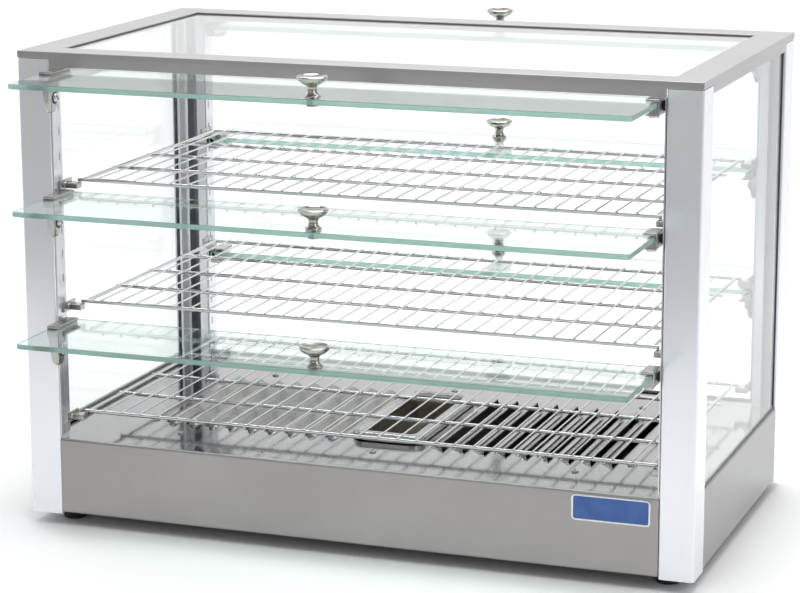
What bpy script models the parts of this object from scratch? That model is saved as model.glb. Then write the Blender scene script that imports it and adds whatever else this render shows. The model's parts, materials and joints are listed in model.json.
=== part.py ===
"""Countertop hot food display case with three flap doors on the front and three on the back.

Metres, +Z up, origin on the floor under the middle of the case, front towards -Y.
The six glass doors stand open, level, at rest. Each door hangs from an empty on its pivot line.
"""
import bpy
import bmesh
from math import cos, sin, pi, radians
from mathutils import Matrix, Vector

# --- driving sizes of the case ---
case_width = 0.700
case_depth = 0.3954
frame_height = 0.4776          # underside of the posts to the top face of the top frame
foot_height = 0.012
foot_radius = 0.013
foot_taper = 0.002
foot_edge = 0.001
foot_sides = 20
foot_stud_radius = 0.004
foot_stud_sides = 12
foot_inset_across = 0.002      # middle of the foot beyond the inner face of the post
foot_inset_along = 0.033       # middle of the foot behind the front face of the post
fit_gap = 0.0003               # between pieces that touch
overlap = 0.0002               # how far joined shapes run into each other
deep_overlap = 0.001

# --- corner posts, hollow extrusions with a leg beside the glass ---
post_width = 0.035
post_depth = 0.039
post_wall = 0.002
post_box = 0.0205              # depth of the hollow part; beyond it the leg goes on to the glass
post_leg = 0.012               # width of the leg
post_corner_radius = 0.0025
arc_steps = 3

# --- sheet metal base ---
sheet = 0.0012
base_height = 0.080            # top edge of the front and rear panels above the post foot
base_lift = 0.0015             # lower edge of the panels above the post foot
side_panel_height = 0.0815
deck_drop = 0.0025             # deck surface below the top edge of the front panel
deck_sheet = 0.001
ledge_reach = 0.010
bottom_flange = 0.020
side_flange = 0.0105
panel_recess = 0.0005          # panel faces behind the faces of the posts
deck_side_gap = 0.0015         # deck to the glass flange of the side panels

# --- glass ---
glass = 0.005
side_glass_inset = 0.0035      # outer face of the side glass behind the case side
groove_depth = 0.008
groove_clearance = 0.0003
side_glass_rise = 0.002        # above the flange of the side panel
side_glass_head_gap = 0.0005

# --- top frame ---
top_plate = 0.0072
skirt_drop = 0.0079
skirt_sheet = 0.0015
top_member_side = 0.0343
top_member_front = 0.0337
top_glass_recess = 0.002
top_ledge = 0.006
top_ledge_thickness = 0.0015
top_ledge_lift = 0.0005        # above the underside of the ring

# --- doors ---
pivot_inset = 0.008            # pivot line behind the front face of the posts
upper_clamp_gap = 0.0004       # top of the upper doors' clamps below the skirts of the top frame
door_tail = 0.012              # glass behind the pivot line
door_gap_upper = 0.0046        # closed upper door to the glass top of the middle door
door_gap_middle = 0.0118
door_gap_lower = 0.0094        # closed lower door to the base panel
glass_offset = 0.003           # middle of the glass above the pivot line
glass_corner = 0.004
clamp_face_inset = 0.004       # outer face of a clamp inside the inner face of a post
clamp_web = 0.0015
clamp_width = 0.013
clamp_block_step = 0.004
clamp_block_drop = 0.0075      # underside of the block below the pivot line
clamp_jaw = 0.0025
clamp_lower_lip = 0.0015
jaw_tail = 0.007
plain_clamp_reach = 0.0203     # clamp in front of the pivot line
stay_clamp_reach = 0.038
pin_radius = 0.0025
pin_clearance = 0.0003
pin_reach = 0.007              # pin past the inner face of the post
pin_sides = 8
bush_radius = 0.005
tongue_length = 0.028
tongue_run = 0.021
tongue_width = 0.011
tongue_inset = 0.0005          # outer face of the tongue inside the clamp's
tongue_setback = 0.0004        # front of the tongue behind the clamp's
tongue_edge = 0.003
tongue_tip_scale = 0.55
tongue_screw_radius = 0.004
tongue_screw_height = 0.0012
tongue_screw_along = 0.013     # from the front of the tongue
tongue_screw_drop = 0.0154     # below the block
clamp_screw_radius = 0.0055
clamp_screw_height = 0.0025
clamp_screw_tip = 0.0044
clamp_screw_inset = 0.001      # edge of the head outside the clamp's inner face
clamp_screw_along = 0.0126     # in front of the pivot line
bush_sides = 12
screw_sides = 12

# --- door knobs ---
knob_radius = 0.0147
knob_height = 0.020
knob_centre_radius = 0.004
knob_centre_drop = 0.001       # this and the next five are below the top of the rim
knob_dish_drop = 0.002
knob_rim_drop = 0.001
knob_under_drop = 0.0032
knob_flare_drop = 0.0098
knob_neck_drop = 0.0135
knob_rim_width = 0.0016
knob_under_width = 0.0012
knob_flare_width = 0.0012
knob_foot_taper = 0.0008
knob_nut_taper = 0.0012
knob_steps = 14
knob_neck_radius = 0.0045
knob_foot_radius = 0.008
knob_foot_height = 0.002
knob_nut_height = 0.003
knob_screw_radius = 0.002
knob_edge_distance = 0.015

# --- shelf rails and clips ---
rail_width = 0.019
rail_inset = 0.001
rail_thickness = 0.0012
rail_floor_gap = 0.004
rail_head_gap = 0.0005
slot_width = 0.0024
slot_height = 0.008
slot_pitch = 0.025
slot_line = 0.014              # slots behind the front face of the post
clip_arm = 0.002
clip_arm_height = 0.010
clip_arm_start = 0.0105        # behind the front face of the post
clip_block = 0.006
clip_block_reach = 0.012
clip_block_width = 0.013

# --- wire shelves ---
shelf_side_gap = 0.011         # ends of the long wires to the inner face of the posts
shelf_end_gap = 0.0327         # end wires behind the faces of the posts
shelf_stub = 0.006
shelf_wire = 0.004
shelf_long_wires = 5
shelf_fine_wire = 0.0022
shelf_fine_pitch = 0.020
shelf_fine_bite = 0.0006
shelf_fine_overhang = 0.002
shelf_side_step = 0.0001       # side wires are this much thinner, above and below
upper_shelf_over_pivot = 0.0152
middle_shelf_over_pivot = 0.0212
lower_shelf_over_deck = 0.0248

# --- deck louvres and water pan ---
louvre_count = 9
louvre_pitch = 0.0223
louvre_pan_gap = 0.0108        # nearest louvre to the rim of the water pan
louvre_length = 0.190
louvre_width = 0.012
louvre_rise = 0.006
louvre_sheet = 0.001
pan_width = 0.052
pan_length = 0.160
pan_depth = 0.038
pan_rim = 0.013
pan_rim_height = 0.009
pan_sheet = 0.001
pan_corner = 0.005
pan_hole_clearance = 0.0015

# --- parts inside and on the back of the base ---
heater_radius = 0.00325
heater_spread = 0.060
heater_length = 0.150
heater_height = 0.046          # above the post foot
heater_bend_steps = 6
control_height = 0.041
control_sides = 16
thermostat_inset = 0.105       # from the inner face of the right rear post
thermostat_spindle = 0.003
thermostat_box = (0.044, 0.030, 0.044)
thermostat_edge = 0.002
spindle_reach = 0.008          # past the panel
dial_gap = 0.0008              # dial to the panel
dial_bore_spare = 0.003
dial_radius = 0.019
dial_height = 0.016
dial_grip_radius = 0.0175
dial_edge_radius = 0.0163
dial_top_radius = 0.0152
dial_edge_drop = 0.0011
dial_skirt_height = 0.0019
dial_skirt_top = 0.0032
dial_steps = 20
lamp_from_thermostat = 0.055
lamp_radius = 0.005
lamp_length = 0.014
lamp_rim = 0.0015
lamp_rim_height = 0.002
lamp_depth = 0.013             # behind the outer face of the panel
switch_from_thermostat = 0.100
switch_opening = (0.0135, 0.0195)
switch_bezel = 0.002
switch_depth = 0.020
switch_wall = 0.0014
rocker_thickness = 0.009
rocker_clearance = 0.001
rocker_front = 0.0035          # front of the rocker before the panel face
rocker_back_slope = 0.003
rocker_half_throw = 8          # degrees
rocker_waist = 0.0016
rocker_proud = 0.0004
gland_inset = 0.085            # from the inner face of the left rear post
gland_radius = 0.0095
gland_tip_radius = 0.00665
gland_thread_radius = 0.0071
gland_thread_length = 0.012
gland_thread_depth = 0.010
gland_bore = 0.0042
gland_reach = 0.022

# --- badge ---
badge_width = 0.078
badge_height = 0.026
badge_thickness = 0.001
badge_end_gap = 0.008          # to the inner face of the right front post
badge_level = 0.064
badge_corner = 0.004

# --- worked out from the sizes above ---
base_z = foot_height
half_width = case_width / 2
half_depth = case_depth / 2
post_face = half_width - post_width            # inner face of a post across the case
post_back = half_depth - post_depth            # inner face of a post along the case
top_z = base_z + frame_height
plate_under = top_z - top_plate
skirt_under = plate_under - skirt_drop
deck_z = base_z + base_height - deck_drop
panel_reach = post_face - fit_gap
side_reach = post_back - fit_gap
pivot_y = half_depth - pivot_inset
upper_pivot = skirt_under - upper_clamp_gap - (glass_offset + glass / 2 + fit_gap + clamp_jaw)
door_space = upper_pivot - (base_z + base_height)
door_reach = (door_space - 2 * door_tail - door_gap_upper - door_gap_middle - door_gap_lower) / 3
middle_pivot = upper_pivot - (door_reach + door_tail + door_gap_upper)
lower_pivot = middle_pivot - (door_reach + door_tail + door_gap_middle)
door_levels = {"upper": upper_pivot, "middle": middle_pivot, "lower": lower_pivot}
clamp_face = post_face - clamp_face_inset
door_half = clamp_face - clamp_web - fit_gap
shelf_half = post_face - shelf_side_gap
shelf_levels = {
    "upper": middle_pivot + upper_shelf_over_pivot,
    "middle": lower_pivot + middle_shelf_over_pivot,
    "lower": deck_z + lower_shelf_over_deck,
}
shelf_depth = case_depth - 2 * shelf_end_gap
louvre_group_length = louvre_pitch * (louvre_count - 1)
louvre_group_middle = pan_width / 2 + pan_rim + louvre_pan_gap + (louvre_group_length + louvre_width) / 2
thermostat_place = post_face - thermostat_inset
lamp_place = thermostat_place - lamp_from_thermostat
switch_place = thermostat_place - switch_from_thermostat
gland_place = gland_inset - post_face
badge_middle = post_face - badge_end_gap - badge_width / 2
corners = {
    "front_left": (-1, -1),
    "front_right": (1, -1),
    "rear_left": (-1, 1),
    "rear_right": (1, 1),
}

case_parts = None
cutters = None


# --- general helpers ---
def clear_scene():
    for thing in list(bpy.data.objects):
        bpy.data.objects.remove(thing, do_unlink=True)


def new_collection(name):
    group = bpy.data.collections.new(name)
    bpy.context.scene.collection.children.link(group)
    return group


def make_material(name, colour, roughness, metallic=0.0, transmission=0.0):
    material = bpy.data.materials.new(name)
    material.use_nodes = True
    shader = material.node_tree.nodes["Principled BSDF"]
    shader.inputs["Base Color"].default_value = (*colour, 1.0)
    shader.inputs["Roughness"].default_value = roughness
    shader.inputs["Metallic"].default_value = metallic
    shader.inputs["Transmission Weight"].default_value = transmission
    return material


def link_part(part, material):
    case_parts.objects.link(part)
    part.data.materials.append(material)
    return part


def link_cutter(cutter):
    cutters.objects.link(cutter)
    cutter.hide_render = True
    cutter.display_type = "WIRE"
    return cutter


def box_object(name, low, high):
    """A box between two opposite corners, with its origin in its middle."""
    low, high = Vector(low), Vector(high)
    mesh = bpy.data.meshes.new(name)
    shape = bmesh.new()
    bmesh.ops.create_cube(shape, size=1.0)
    bmesh.ops.scale(shape, vec=high - low, verts=shape.verts)
    shape.to_mesh(mesh)
    shape.free()
    part = bpy.data.objects.new(name, mesh)
    part.location = (low + high) / 2
    return part


def cylinder_object(name, middle, radius, length, axis="Z", sides=16, tip_radius=None):
    mesh = bpy.data.meshes.new(name)
    shape = bmesh.new()
    tip = radius if tip_radius is None else tip_radius
    bmesh.ops.create_cone(shape, cap_ends=True, segments=sides, radius1=radius, radius2=tip, depth=length)
    if axis == "X":
        bmesh.ops.rotate(shape, verts=shape.verts, matrix=Matrix.Rotation(pi / 2, 3, "Y"))
    if axis == "Y":
        bmesh.ops.rotate(shape, verts=shape.verts, matrix=Matrix.Rotation(-pi / 2, 3, "X"))
    shape.to_mesh(mesh)
    shape.free()
    part = bpy.data.objects.new(name, mesh)
    part.location = middle
    return part


def mesh_from_curve(curve_object):
    """The evaluated curve as a welded mesh object in the same place."""
    bpy.context.scene.collection.objects.link(curve_object)
    graph = bpy.context.evaluated_depsgraph_get()
    mesh = bpy.data.meshes.new_from_object(curve_object.evaluated_get(graph))
    shape = bmesh.new()
    shape.from_mesh(mesh)
    bmesh.ops.remove_doubles(shape, verts=shape.verts, dist=0.00002)
    bmesh.ops.recalc_face_normals(shape, faces=shape.faces)
    shape.to_mesh(mesh)
    shape.free()
    name = curve_object.name
    place = curve_object.matrix_world.copy()
    bpy.data.objects.remove(curve_object, do_unlink=True)
    part = bpy.data.objects.new(name, mesh)
    part.matrix_world = place
    return part


def outline_object(name, loops, length, along, middle):
    """A flat outline, with holes where loops lie inside others, pushed out along one axis."""
    curve = bpy.data.curves.new(name, "CURVE")
    curve.dimensions = "2D"
    curve.fill_mode = "BOTH"
    curve.extrude = length / 2
    for loop in loops:
        spline = curve.splines.new("POLY")
        spline.points.add(len(loop) - 1)
        for point, (across, up) in zip(spline.points, loop):
            point.co = (across, up, 0.0, 1.0)
        spline.use_cyclic_u = True
    flat = bpy.data.objects.new(name, curve)
    turns = {"Z": (0.0, 0.0, 0.0), "X": (pi / 2, 0.0, pi / 2), "Y": (pi / 2, 0.0, 0.0)}
    flat.rotation_euler = turns[along]
    flat.location = middle
    return mesh_from_curve(flat)


def rounded_rectangle(low, high, radius):
    """Corner points of a rectangle with arcs at its corners, anticlockwise."""
    points = []
    middles = [
        (high[0] - radius, high[1] - radius, 0.0),
        (low[0] + radius, high[1] - radius, pi / 2),
        (low[0] + radius, low[1] + radius, pi),
        (high[0] - radius, low[1] + radius, 3 * pi / 2),
    ]
    for across, up, start in middles:
        for step in range(arc_steps + 1):
            angle = start + step * pi / 2 / arc_steps
            points.append((across + radius * cos(angle), up + radius * sin(angle)))
    return points


def rectangle(reach_x, reach_y):
    return [(-reach_x, -reach_y), (reach_x, -reach_y), (reach_x, reach_y), (-reach_x, reach_y)]


def boolean(target, operation, other):
    modifier = target.modifiers.new(operation.lower(), "BOOLEAN")
    modifier.operation = operation
    modifier.solver = "EXACT"
    modifier.object = link_cutter(other)


def bevel(target, width, segments=1, angle=40):
    modifier = target.modifiers.new("edge", "BEVEL")
    modifier.width = width
    modifier.segments = segments
    modifier.limit_method = "ANGLE"
    modifier.angle_limit = radians(angle)


def repeat(target, count, offset):
    modifier = target.modifiers.new("row", "ARRAY")
    modifier.count = count
    modifier.use_relative_offset = False
    modifier.use_constant_offset = True
    modifier.constant_offset_displace = offset
    modifier.merge_threshold = 0.0001


def row_along_x(target, count, pitch):
    """A row of copies along the case, whatever way the object itself is turned."""
    offset = target.rotation_euler.to_matrix().inverted() @ Vector((pitch, 0.0, 0.0))
    repeat(target, count, offset)


def shade_round(part):
    part.data.shade_smooth()
    part.data.set_sharp_from_angle(angle=radians(35))


def turned_object(name, profile, steps):
    """A profile of (radius, height) points, from the top of the axis to its bottom, turned about Z."""
    mesh = bpy.data.meshes.new(name)
    points = [(radius, 0.0, height) for radius, height in profile]
    edges = [(index, index + 1) for index in range(len(points) - 1)]
    mesh.from_pydata(points, edges, [])
    part = bpy.data.objects.new(name, mesh)
    modifier = part.modifiers.new("turn", "SCREW")
    modifier.axis = "Z"
    modifier.steps = steps
    modifier.render_steps = steps
    modifier.use_merge_vertices = True
    modifier.merge_threshold = 0.0001
    modifier.use_smooth_shade = True
    return part


# --- frame ---
def build_posts(materials):
    """Hollow posts with a glass groove towards the other post and three pin holes towards the doors."""
    groove = glass + 2 * groove_clearance
    groove_start = side_glass_inset - groove_clearance
    for name, (side, face) in corners.items():
        corner_points = arc_steps + 1
        outer = rounded_rectangle((0.0, 0.0), (post_width, post_depth), post_corner_radius)
        outer[:corner_points] = [(post_width, post_box), (post_leg, post_box), (post_leg, post_depth)]
        inner_low = (post_wall, post_wall)
        inner_high = (post_width - post_wall, post_box - post_wall)
        hollow = [inner_low, (inner_high[0], inner_low[1]), inner_high, (inner_low[0], inner_high[1])]
        loops = []
        for loop in (outer, hollow):
            loops.append([(side * (half_width - u), face * (half_depth - v)) for u, v in loop])
        length = plate_under - fit_gap - base_z
        middle = (0.0, 0.0, base_z + length / 2)
        post = outline_object("post_" + name, loops, length, "Z", middle)
        link_part(post, materials["post"])
        across = (side * (half_width - groove_start), side * (half_width - groove_start - groove))
        along = (face * (post_back + groove_depth), face * (post_back - groove_depth))
        low = (min(across), min(along), base_z - sheet)
        high = (max(across), max(along), top_z)
        boolean(post, "DIFFERENCE", box_object("groove_cut_" + name, low, high))
        for level, height in door_levels.items():
            middle = (side * post_face, face * pivot_y, height)
            radius = pin_radius + pin_clearance
            hole = cylinder_object("pin_hole_" + level, middle, radius, 3 * post_wall, "X", pin_sides)
            boolean(post, "DIFFERENCE", hole)


def build_feet(materials):
    for name, (side, face) in corners.items():
        height = foot_height - fit_gap
        across = side * (post_face + foot_inset_across)
        along = face * (half_depth - foot_inset_along)
        foot = cylinder_object("foot_" + name, (across, along, height / 2), foot_radius - foot_taper, height,
                               "Z", foot_sides, foot_radius)
        link_part(foot, materials["rubber"])
        bevel(foot, foot_edge)
        stud_top = base_z + base_lift + sheet
        stud = cylinder_object("foot_stud_" + name, (across, along, (height - overlap + stud_top) / 2),
                               foot_stud_radius, stud_top - height + overlap, "Z", foot_stud_sides)
        boolean(foot, "UNION", stud)
        shade_round(foot)


def build_end_panels(materials):
    """Front and rear panels: a face, a ledge under the deck and a flange along the bottom."""
    face_y = half_depth - panel_recess
    ledge_top = deck_z - deck_sheet - fit_gap
    low = base_z + base_lift
    profile = [
        (face_y, low),
        (face_y, base_z + base_height),
        (face_y - sheet, base_z + base_height),
        (face_y - sheet, ledge_top),
        (face_y - sheet - ledge_reach, ledge_top),
        (face_y - sheet - ledge_reach, ledge_top - sheet),
        (face_y - sheet, ledge_top - sheet),
        (face_y - sheet, low + sheet),
        (face_y - sheet - bottom_flange, low + sheet),
        (face_y - sheet - bottom_flange, low),
    ]
    panels = {}
    for name, face in (("front", -1), ("rear", 1)):
        loop = [(face * across, up) for across, up in profile]
        panel = outline_object(name + "_base_panel", [loop], 2 * panel_reach, "X", (0.0, 0.0, 0.0))
        link_part(panel, materials["panel"])
        panels[name] = panel
    return panels


def build_side_panels(materials):
    """Side panels: a face with a flange for the glass above and a flange along the bottom."""
    face_x = half_width - panel_recess
    low = base_z + base_lift
    high = base_z + side_panel_height
    profile = [
        (face_x, low),
        (face_x, high),
        (face_x - side_flange, high),
        (face_x - side_flange, high - sheet),
        (face_x - sheet, high - sheet),
        (face_x - sheet, low + sheet),
        (face_x - bottom_flange, low + sheet),
        (face_x - bottom_flange, low),
    ]
    for name, side in (("left", -1), ("right", 1)):
        loop = [(side * across, up) for across, up in profile]
        panel = outline_object(name + "_base_panel", [loop], 2 * side_reach, "Y", (0.0, 0.0, 0.0))
        link_part(panel, materials["panel"])


def notched_plate(name, reach, low, high):
    """A flat plate with notches at each corner for the box and the leg of a post."""
    plate = box_object(name, (-reach[0], -reach[1], low), (reach[0], reach[1], high))
    leg_x = half_width - post_leg - fit_gap
    box_y = half_depth - post_box - fit_gap
    for part, start_x, start_y in (("box", panel_reach, box_y), ("leg", leg_x, side_reach)):
        if start_x >= reach[0]:
            continue
        size_x, size_y = half_width - start_x, half_depth - start_y
        notch = box_object(name + "_notch_" + part, (-half_width, -half_depth, low - sheet),
                           (-start_x, -start_y, high + sheet))
        repeat(notch, 2, (2 * start_x + size_x, 0.0, 0.0))
        repeat(notch, 2, (0.0, 2 * start_y + size_y, 0.0))
        boolean(plate, "DIFFERENCE", notch)
    return plate


def build_bottom_plate(materials):
    """A plate inside the panels, just above their flanges, with room for the posts."""
    low = base_z + base_lift + sheet + fit_gap
    reach_x = half_width - panel_recess - sheet - fit_gap
    reach_y = half_depth - panel_recess - sheet - fit_gap
    plate = notched_plate("bottom_plate", (reach_x, reach_y), low, low + sheet)
    link_part(plate, materials["panel"])


def louvre_hood(name, side, outer):
    """The solid or the hollow of the first louvre of a group, open away from the middle of the case."""
    start = side * louvre_group_middle - louvre_group_length / 2
    rise = louvre_rise
    wall = louvre_sheet
    if outer:
        profile = [(-louvre_width / 2, -deck_sheet / 2), (louvre_width / 2, -deck_sheet / 2),
                   (louvre_width / 2, rise), (-louvre_width / 2, wall)]
        length = louvre_length
    else:
        profile = [(-louvre_width / 2 + wall, -2 * deck_sheet), (louvre_width / 2 + wall, -2 * deck_sheet),
                   (louvre_width / 2 + wall, rise - wall), (-louvre_width / 2 + wall, wall / 5)]
        length = louvre_length - 2 * wall
    loop = [(side * across, up) for across, up in profile]
    return outline_object(name, [loop], length, "Y", (start, 0.0, deck_z))


def build_deck(materials):
    """The deck plate with two groups of louvres and a hole for the water pan."""
    reach_x = half_width - side_flange - panel_recess - deck_side_gap
    reach_y = half_depth - panel_recess - sheet - fit_gap
    deck = notched_plate("deck_plate", (reach_x, reach_y), deck_z - deck_sheet, deck_z)
    link_part(deck, materials["deck"])
    hole_x = pan_width / 2 + pan_sheet + pan_hole_clearance
    hole_y = pan_length / 2 + pan_sheet + pan_hole_clearance
    hole = rounded_rectangle((-hole_x, -hole_y), (hole_x, hole_y), pan_corner + pan_hole_clearance)
    boolean(deck, "DIFFERENCE", outline_object("pan_hole", [hole], 4 * deck_sheet, "Z", (0.0, 0.0, deck_z)))
    for name, side in (("left", -1), ("right", 1)):
        for outer, operation in ((True, "UNION"), (False, "DIFFERENCE")):
            hood = louvre_hood(name + "_louvre_" + operation.lower(), side, outer)
            row_along_x(hood, louvre_count, louvre_pitch)
            boolean(deck, operation, hood)


def build_top_frame(materials):
    """A flat ring with a step for the glass and a skirt between the posts."""
    inner_x = half_width - top_member_side
    inner_y = half_depth - top_member_front
    middle_z = (top_z + plate_under) / 2
    outline = rounded_rectangle((-half_width, -half_depth), (half_width, half_depth), post_corner_radius)
    ring = outline_object("top_frame", [outline, rectangle(inner_x, inner_y)], top_plate, "Z",
                          (0.0, 0.0, middle_z))
    link_part(ring, materials["frame"])
    wide = rectangle(inner_x + deep_overlap, inner_y + deep_overlap)
    narrow = rectangle(inner_x - top_ledge, inner_y - top_ledge)
    ledge_high = plate_under + top_ledge_lift + top_ledge_thickness
    ledge = outline_object("top_ledge", [wide, narrow], top_ledge_thickness, "Z",
                           (0.0, 0.0, ledge_high - top_ledge_thickness / 2))
    boolean(ring, "UNION", ledge)
    high = plate_under + deep_overlap
    for face in (-1, 1):
        edges = (face * half_depth, face * (half_depth - skirt_sheet))
        skirt = box_object("end_skirt", (-panel_reach, min(edges), skirt_under),
                           (panel_reach, max(edges), high))
        boolean(ring, "UNION", skirt)
    for side in (-1, 1):
        edges = (side * half_width, side * (half_width - skirt_sheet))
        skirt = box_object("side_skirt", (min(edges), -side_reach, skirt_under),
                           (max(edges), side_reach, high))
        boolean(ring, "UNION", skirt)
    glass_x = inner_x - fit_gap
    glass_y = inner_y - fit_gap
    pane = box_object("top_glass", (-glass_x, -glass_y, ledge_high + fit_gap),
                      (glass_x, glass_y, top_z - top_glass_recess))
    link_part(pane, materials["glass"])


def build_side_glass(materials):
    low = base_z + side_panel_height + side_glass_rise
    high = plate_under - side_glass_head_gap
    reach = post_back + groove_depth - fit_gap
    for name, side in (("left", -1), ("right", 1)):
        edges = (side * (half_width - side_glass_inset), side * (half_width - side_glass_inset - glass))
        pane = box_object(name + "_side_glass", (min(edges), -reach, low), (max(edges), reach, high))
        link_part(pane, materials["glass"])


# --- shelf rails and shelves ---
def build_rails(materials):
    """Slotted rails on the inner faces of the posts, each with the three shelf clips hooked in it."""
    low_z = base_z + base_height + rail_floor_gap
    high_z = skirt_under - rail_head_gap
    for name, (side, face) in corners.items():
        across = (side * (post_face - fit_gap), side * (post_face - fit_gap - rail_thickness))
        along = (face * (half_depth - rail_inset), face * (half_depth - rail_inset - rail_width))
        rail = box_object("shelf_rail_" + name, (min(across), min(along), low_z),
                          (max(across), max(along), high_z))
        link_part(rail, materials["chrome"])
        add_slots(rail, side, face, low_z, high_z)
        for level, height in door_levels.items():
            middle = (side * post_face, face * pivot_y, height)
            radius = pin_radius + pin_clearance
            hole = cylinder_object("rail_hole_" + level, middle, radius, 4 * rail_thickness, "X", pin_sides)
            boolean(rail, "DIFFERENCE", hole)
        for level, height in shelf_levels.items():
            add_clip(rail, side, face, height)


def add_slots(rail, side, face, low_z, high_z):
    count = int((high_z - low_z - 2 * slot_height) / slot_pitch) + 1
    middle_y = face * (half_depth - slot_line)
    low = (side * post_face - 3 * rail_thickness, middle_y - slot_width / 2, low_z + slot_height)
    high = (side * post_face + 3 * rail_thickness, middle_y + slot_width / 2, low_z + 2 * slot_height)
    slots = box_object("rail_slots", low, high)
    repeat(slots, count, (0.0, 0.0, slot_pitch))
    boolean(rail, "DIFFERENCE", slots)


def add_clip(rail, side, face, shelf_z):
    """An arm flat on the rail and a block that reaches under the corner of the shelf."""
    top = shelf_z - shelf_wire / 2 - fit_gap
    rail_face = post_face - fit_gap - rail_thickness
    across = (side * (rail_face + rail_thickness / 2), side * (rail_face - clip_arm))
    shelf_front = shelf_depth / 2 + shelf_fine_overhang
    block_end = shelf_front - clip_block_reach / 2
    along = (face * (half_depth - clip_arm_start), face * block_end)
    low_z = top - clip_block
    arm = box_object("clip_arm", (min(across), min(along), low_z),
                     (max(across), max(along), low_z + clip_arm_height))
    boolean(rail, "UNION", arm)
    across = (side * (rail_face - clip_arm / 2), side * (rail_face - clip_block_width))
    along = (face * (block_end + clip_block_reach), face * block_end)
    block = box_object("clip_block", (min(across), min(along), low_z), (max(across), max(along), top))
    boolean(rail, "UNION", block)


def build_shelves(materials):
    """A frame of thick wires, with middle wires just under the fine wires that cross it."""
    side_x = shelf_half - shelf_stub
    long_pitch = (shelf_depth - shelf_wire) / (shelf_long_wires - 1)
    fine_count = int(2 * (side_x - shelf_fine_pitch / 2) / shelf_fine_pitch)
    fine_start = -(fine_count - 1) / 2 * shelf_fine_pitch
    for level, height in shelf_levels.items():
        low = height - shelf_wire / 2
        high = height + shelf_wire / 2
        front = -shelf_depth / 2
        end_wires = box_object("shelf_" + level, (-shelf_half, front, low),
                               (shelf_half, front + shelf_wire, high))
        link_part(end_wires, materials["chrome"])
        repeat(end_wires, 2, (0.0, shelf_depth - shelf_wire, 0.0))
        inset = shelf_wire / 2
        side_low = (-side_x - shelf_wire / 2, front + inset, low + shelf_side_step)
        side_high = (-side_x + shelf_wire / 2, -front - inset, high - shelf_side_step)
        side_wires = box_object("shelf_side_wires", side_low, side_high)
        repeat(side_wires, 2, (2 * side_x, 0.0, 0.0))
        boolean(end_wires, "UNION", side_wires)
        drop = shelf_fine_bite + fit_gap
        middle_wires = box_object("shelf_middle_wires", (-shelf_half, front + long_pitch, low - drop),
                                  (shelf_half, front + long_pitch + shelf_wire, high - drop))
        repeat(middle_wires, shelf_long_wires - 2, (0.0, long_pitch, 0.0))
        boolean(end_wires, "UNION", middle_wires)
        fine_low = high - shelf_fine_bite
        reach = shelf_depth / 2 + shelf_fine_overhang
        fine_wires = box_object(
            "shelf_fine_wires", (fine_start - shelf_fine_wire / 2, -reach, fine_low),
            (fine_start + shelf_fine_wire / 2, reach, fine_low + shelf_fine_wire))
        repeat(fine_wires, fine_count, (shelf_fine_pitch, 0.0, 0.0))
        boolean(end_wires, "UNION", fine_wires)


# --- doors, modelled about their pivot line ---
def add_to_door(part, pivot, material):
    link_part(part, material)
    part.parent = pivot


def clamp_object(name, side, reach):
    """Clamp body: upper jaw, web outside the glass, block and lower lip, with its bush and pin."""
    glass_low = glass_offset - glass / 2 - fit_gap
    glass_high = glass_offset + glass / 2 + fit_gap
    inner = clamp_face - clamp_width
    step = inner + clamp_block_step
    slot = clamp_face - clamp_web
    under = -clamp_block_drop
    lower = [(clamp_face, under), (clamp_face, glass_high), (slot, glass_high), (slot, glass_low),
             (step, glass_low), (step, under + clamp_lower_lip), (inner, under + clamp_lower_lip),
             (inner, under)]
    loop = [(side * across, up) for across, up in lower]
    length = reach + door_tail
    clamp = outline_object(name, [loop], length, "Y", (0.0, (door_tail - reach) / 2, 0.0))
    across = (side * inner, side * clamp_face)
    low = (min(across), -reach, glass_high - overlap)
    high = (max(across), jaw_tail, glass_high + clamp_jaw)
    boolean(clamp, "UNION", box_object("clamp_jaw", low, high))
    bush_length = clamp_face_inset - fit_gap - rail_thickness - fit_gap
    middle = (side * (clamp_face + bush_length / 2 - overlap), 0.0, 0.0)
    bush = cylinder_object("clamp_bush", middle, bush_radius, bush_length + 2 * overlap, "X", bush_sides)
    boolean(clamp, "UNION", bush)
    pin_length = clamp_face_inset + pin_reach + clamp_web / 2
    middle = (side * (clamp_face - clamp_web / 2 + pin_length / 2), 0.0, 0.0)
    pin = cylinder_object("clamp_pin", middle, pin_radius, pin_length, "X", pin_sides)
    boolean(clamp, "UNION", pin)
    return clamp


def add_tongue(clamp):
    """The tapered tongue under the stay clamp, with the head of its adjusting screw."""
    outer = -clamp_face + tongue_inset
    start = -stay_clamp_reach + tongue_setback
    under = -clamp_block_drop
    tongue = box_object("tongue", (outer, start, under - tongue_length),
                        (outer + tongue_width, start + tongue_run, under + clamp_lower_lip / 2))
    shape = bmesh.new()
    shape.from_mesh(tongue.data)
    for vertex in shape.verts:
        if vertex.co.z < 0:
            vertex.co.y = tongue_run / 2 + (vertex.co.y - tongue_run / 2) * tongue_tip_scale
            vertex.co.x = tongue_width / 2 + (vertex.co.x - tongue_width / 2) * (1 + tongue_tip_scale) / 2
    shape.to_mesh(tongue.data)
    shape.free()
    bevel(tongue, tongue_edge)
    boolean(clamp, "UNION", tongue)
    middle = (outer + tongue_width, start + tongue_screw_along, under - tongue_screw_drop)
    screw = cylinder_object("tongue_screw", middle, tongue_screw_radius, 2 * tongue_screw_height, "X",
                            screw_sides)
    boolean(clamp, "UNION", screw)


def add_clamp_screw(clamp):
    across = clamp_face - clamp_width + clamp_screw_radius + clamp_screw_inset
    height = -clamp_block_drop - clamp_screw_height / 2 + overlap
    screw = cylinder_object("clamp_screw", (across, -clamp_screw_along, height), clamp_screw_tip,
                            clamp_screw_height + 2 * overlap, "Z", screw_sides, clamp_screw_radius)
    boolean(clamp, "UNION", screw)


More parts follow.
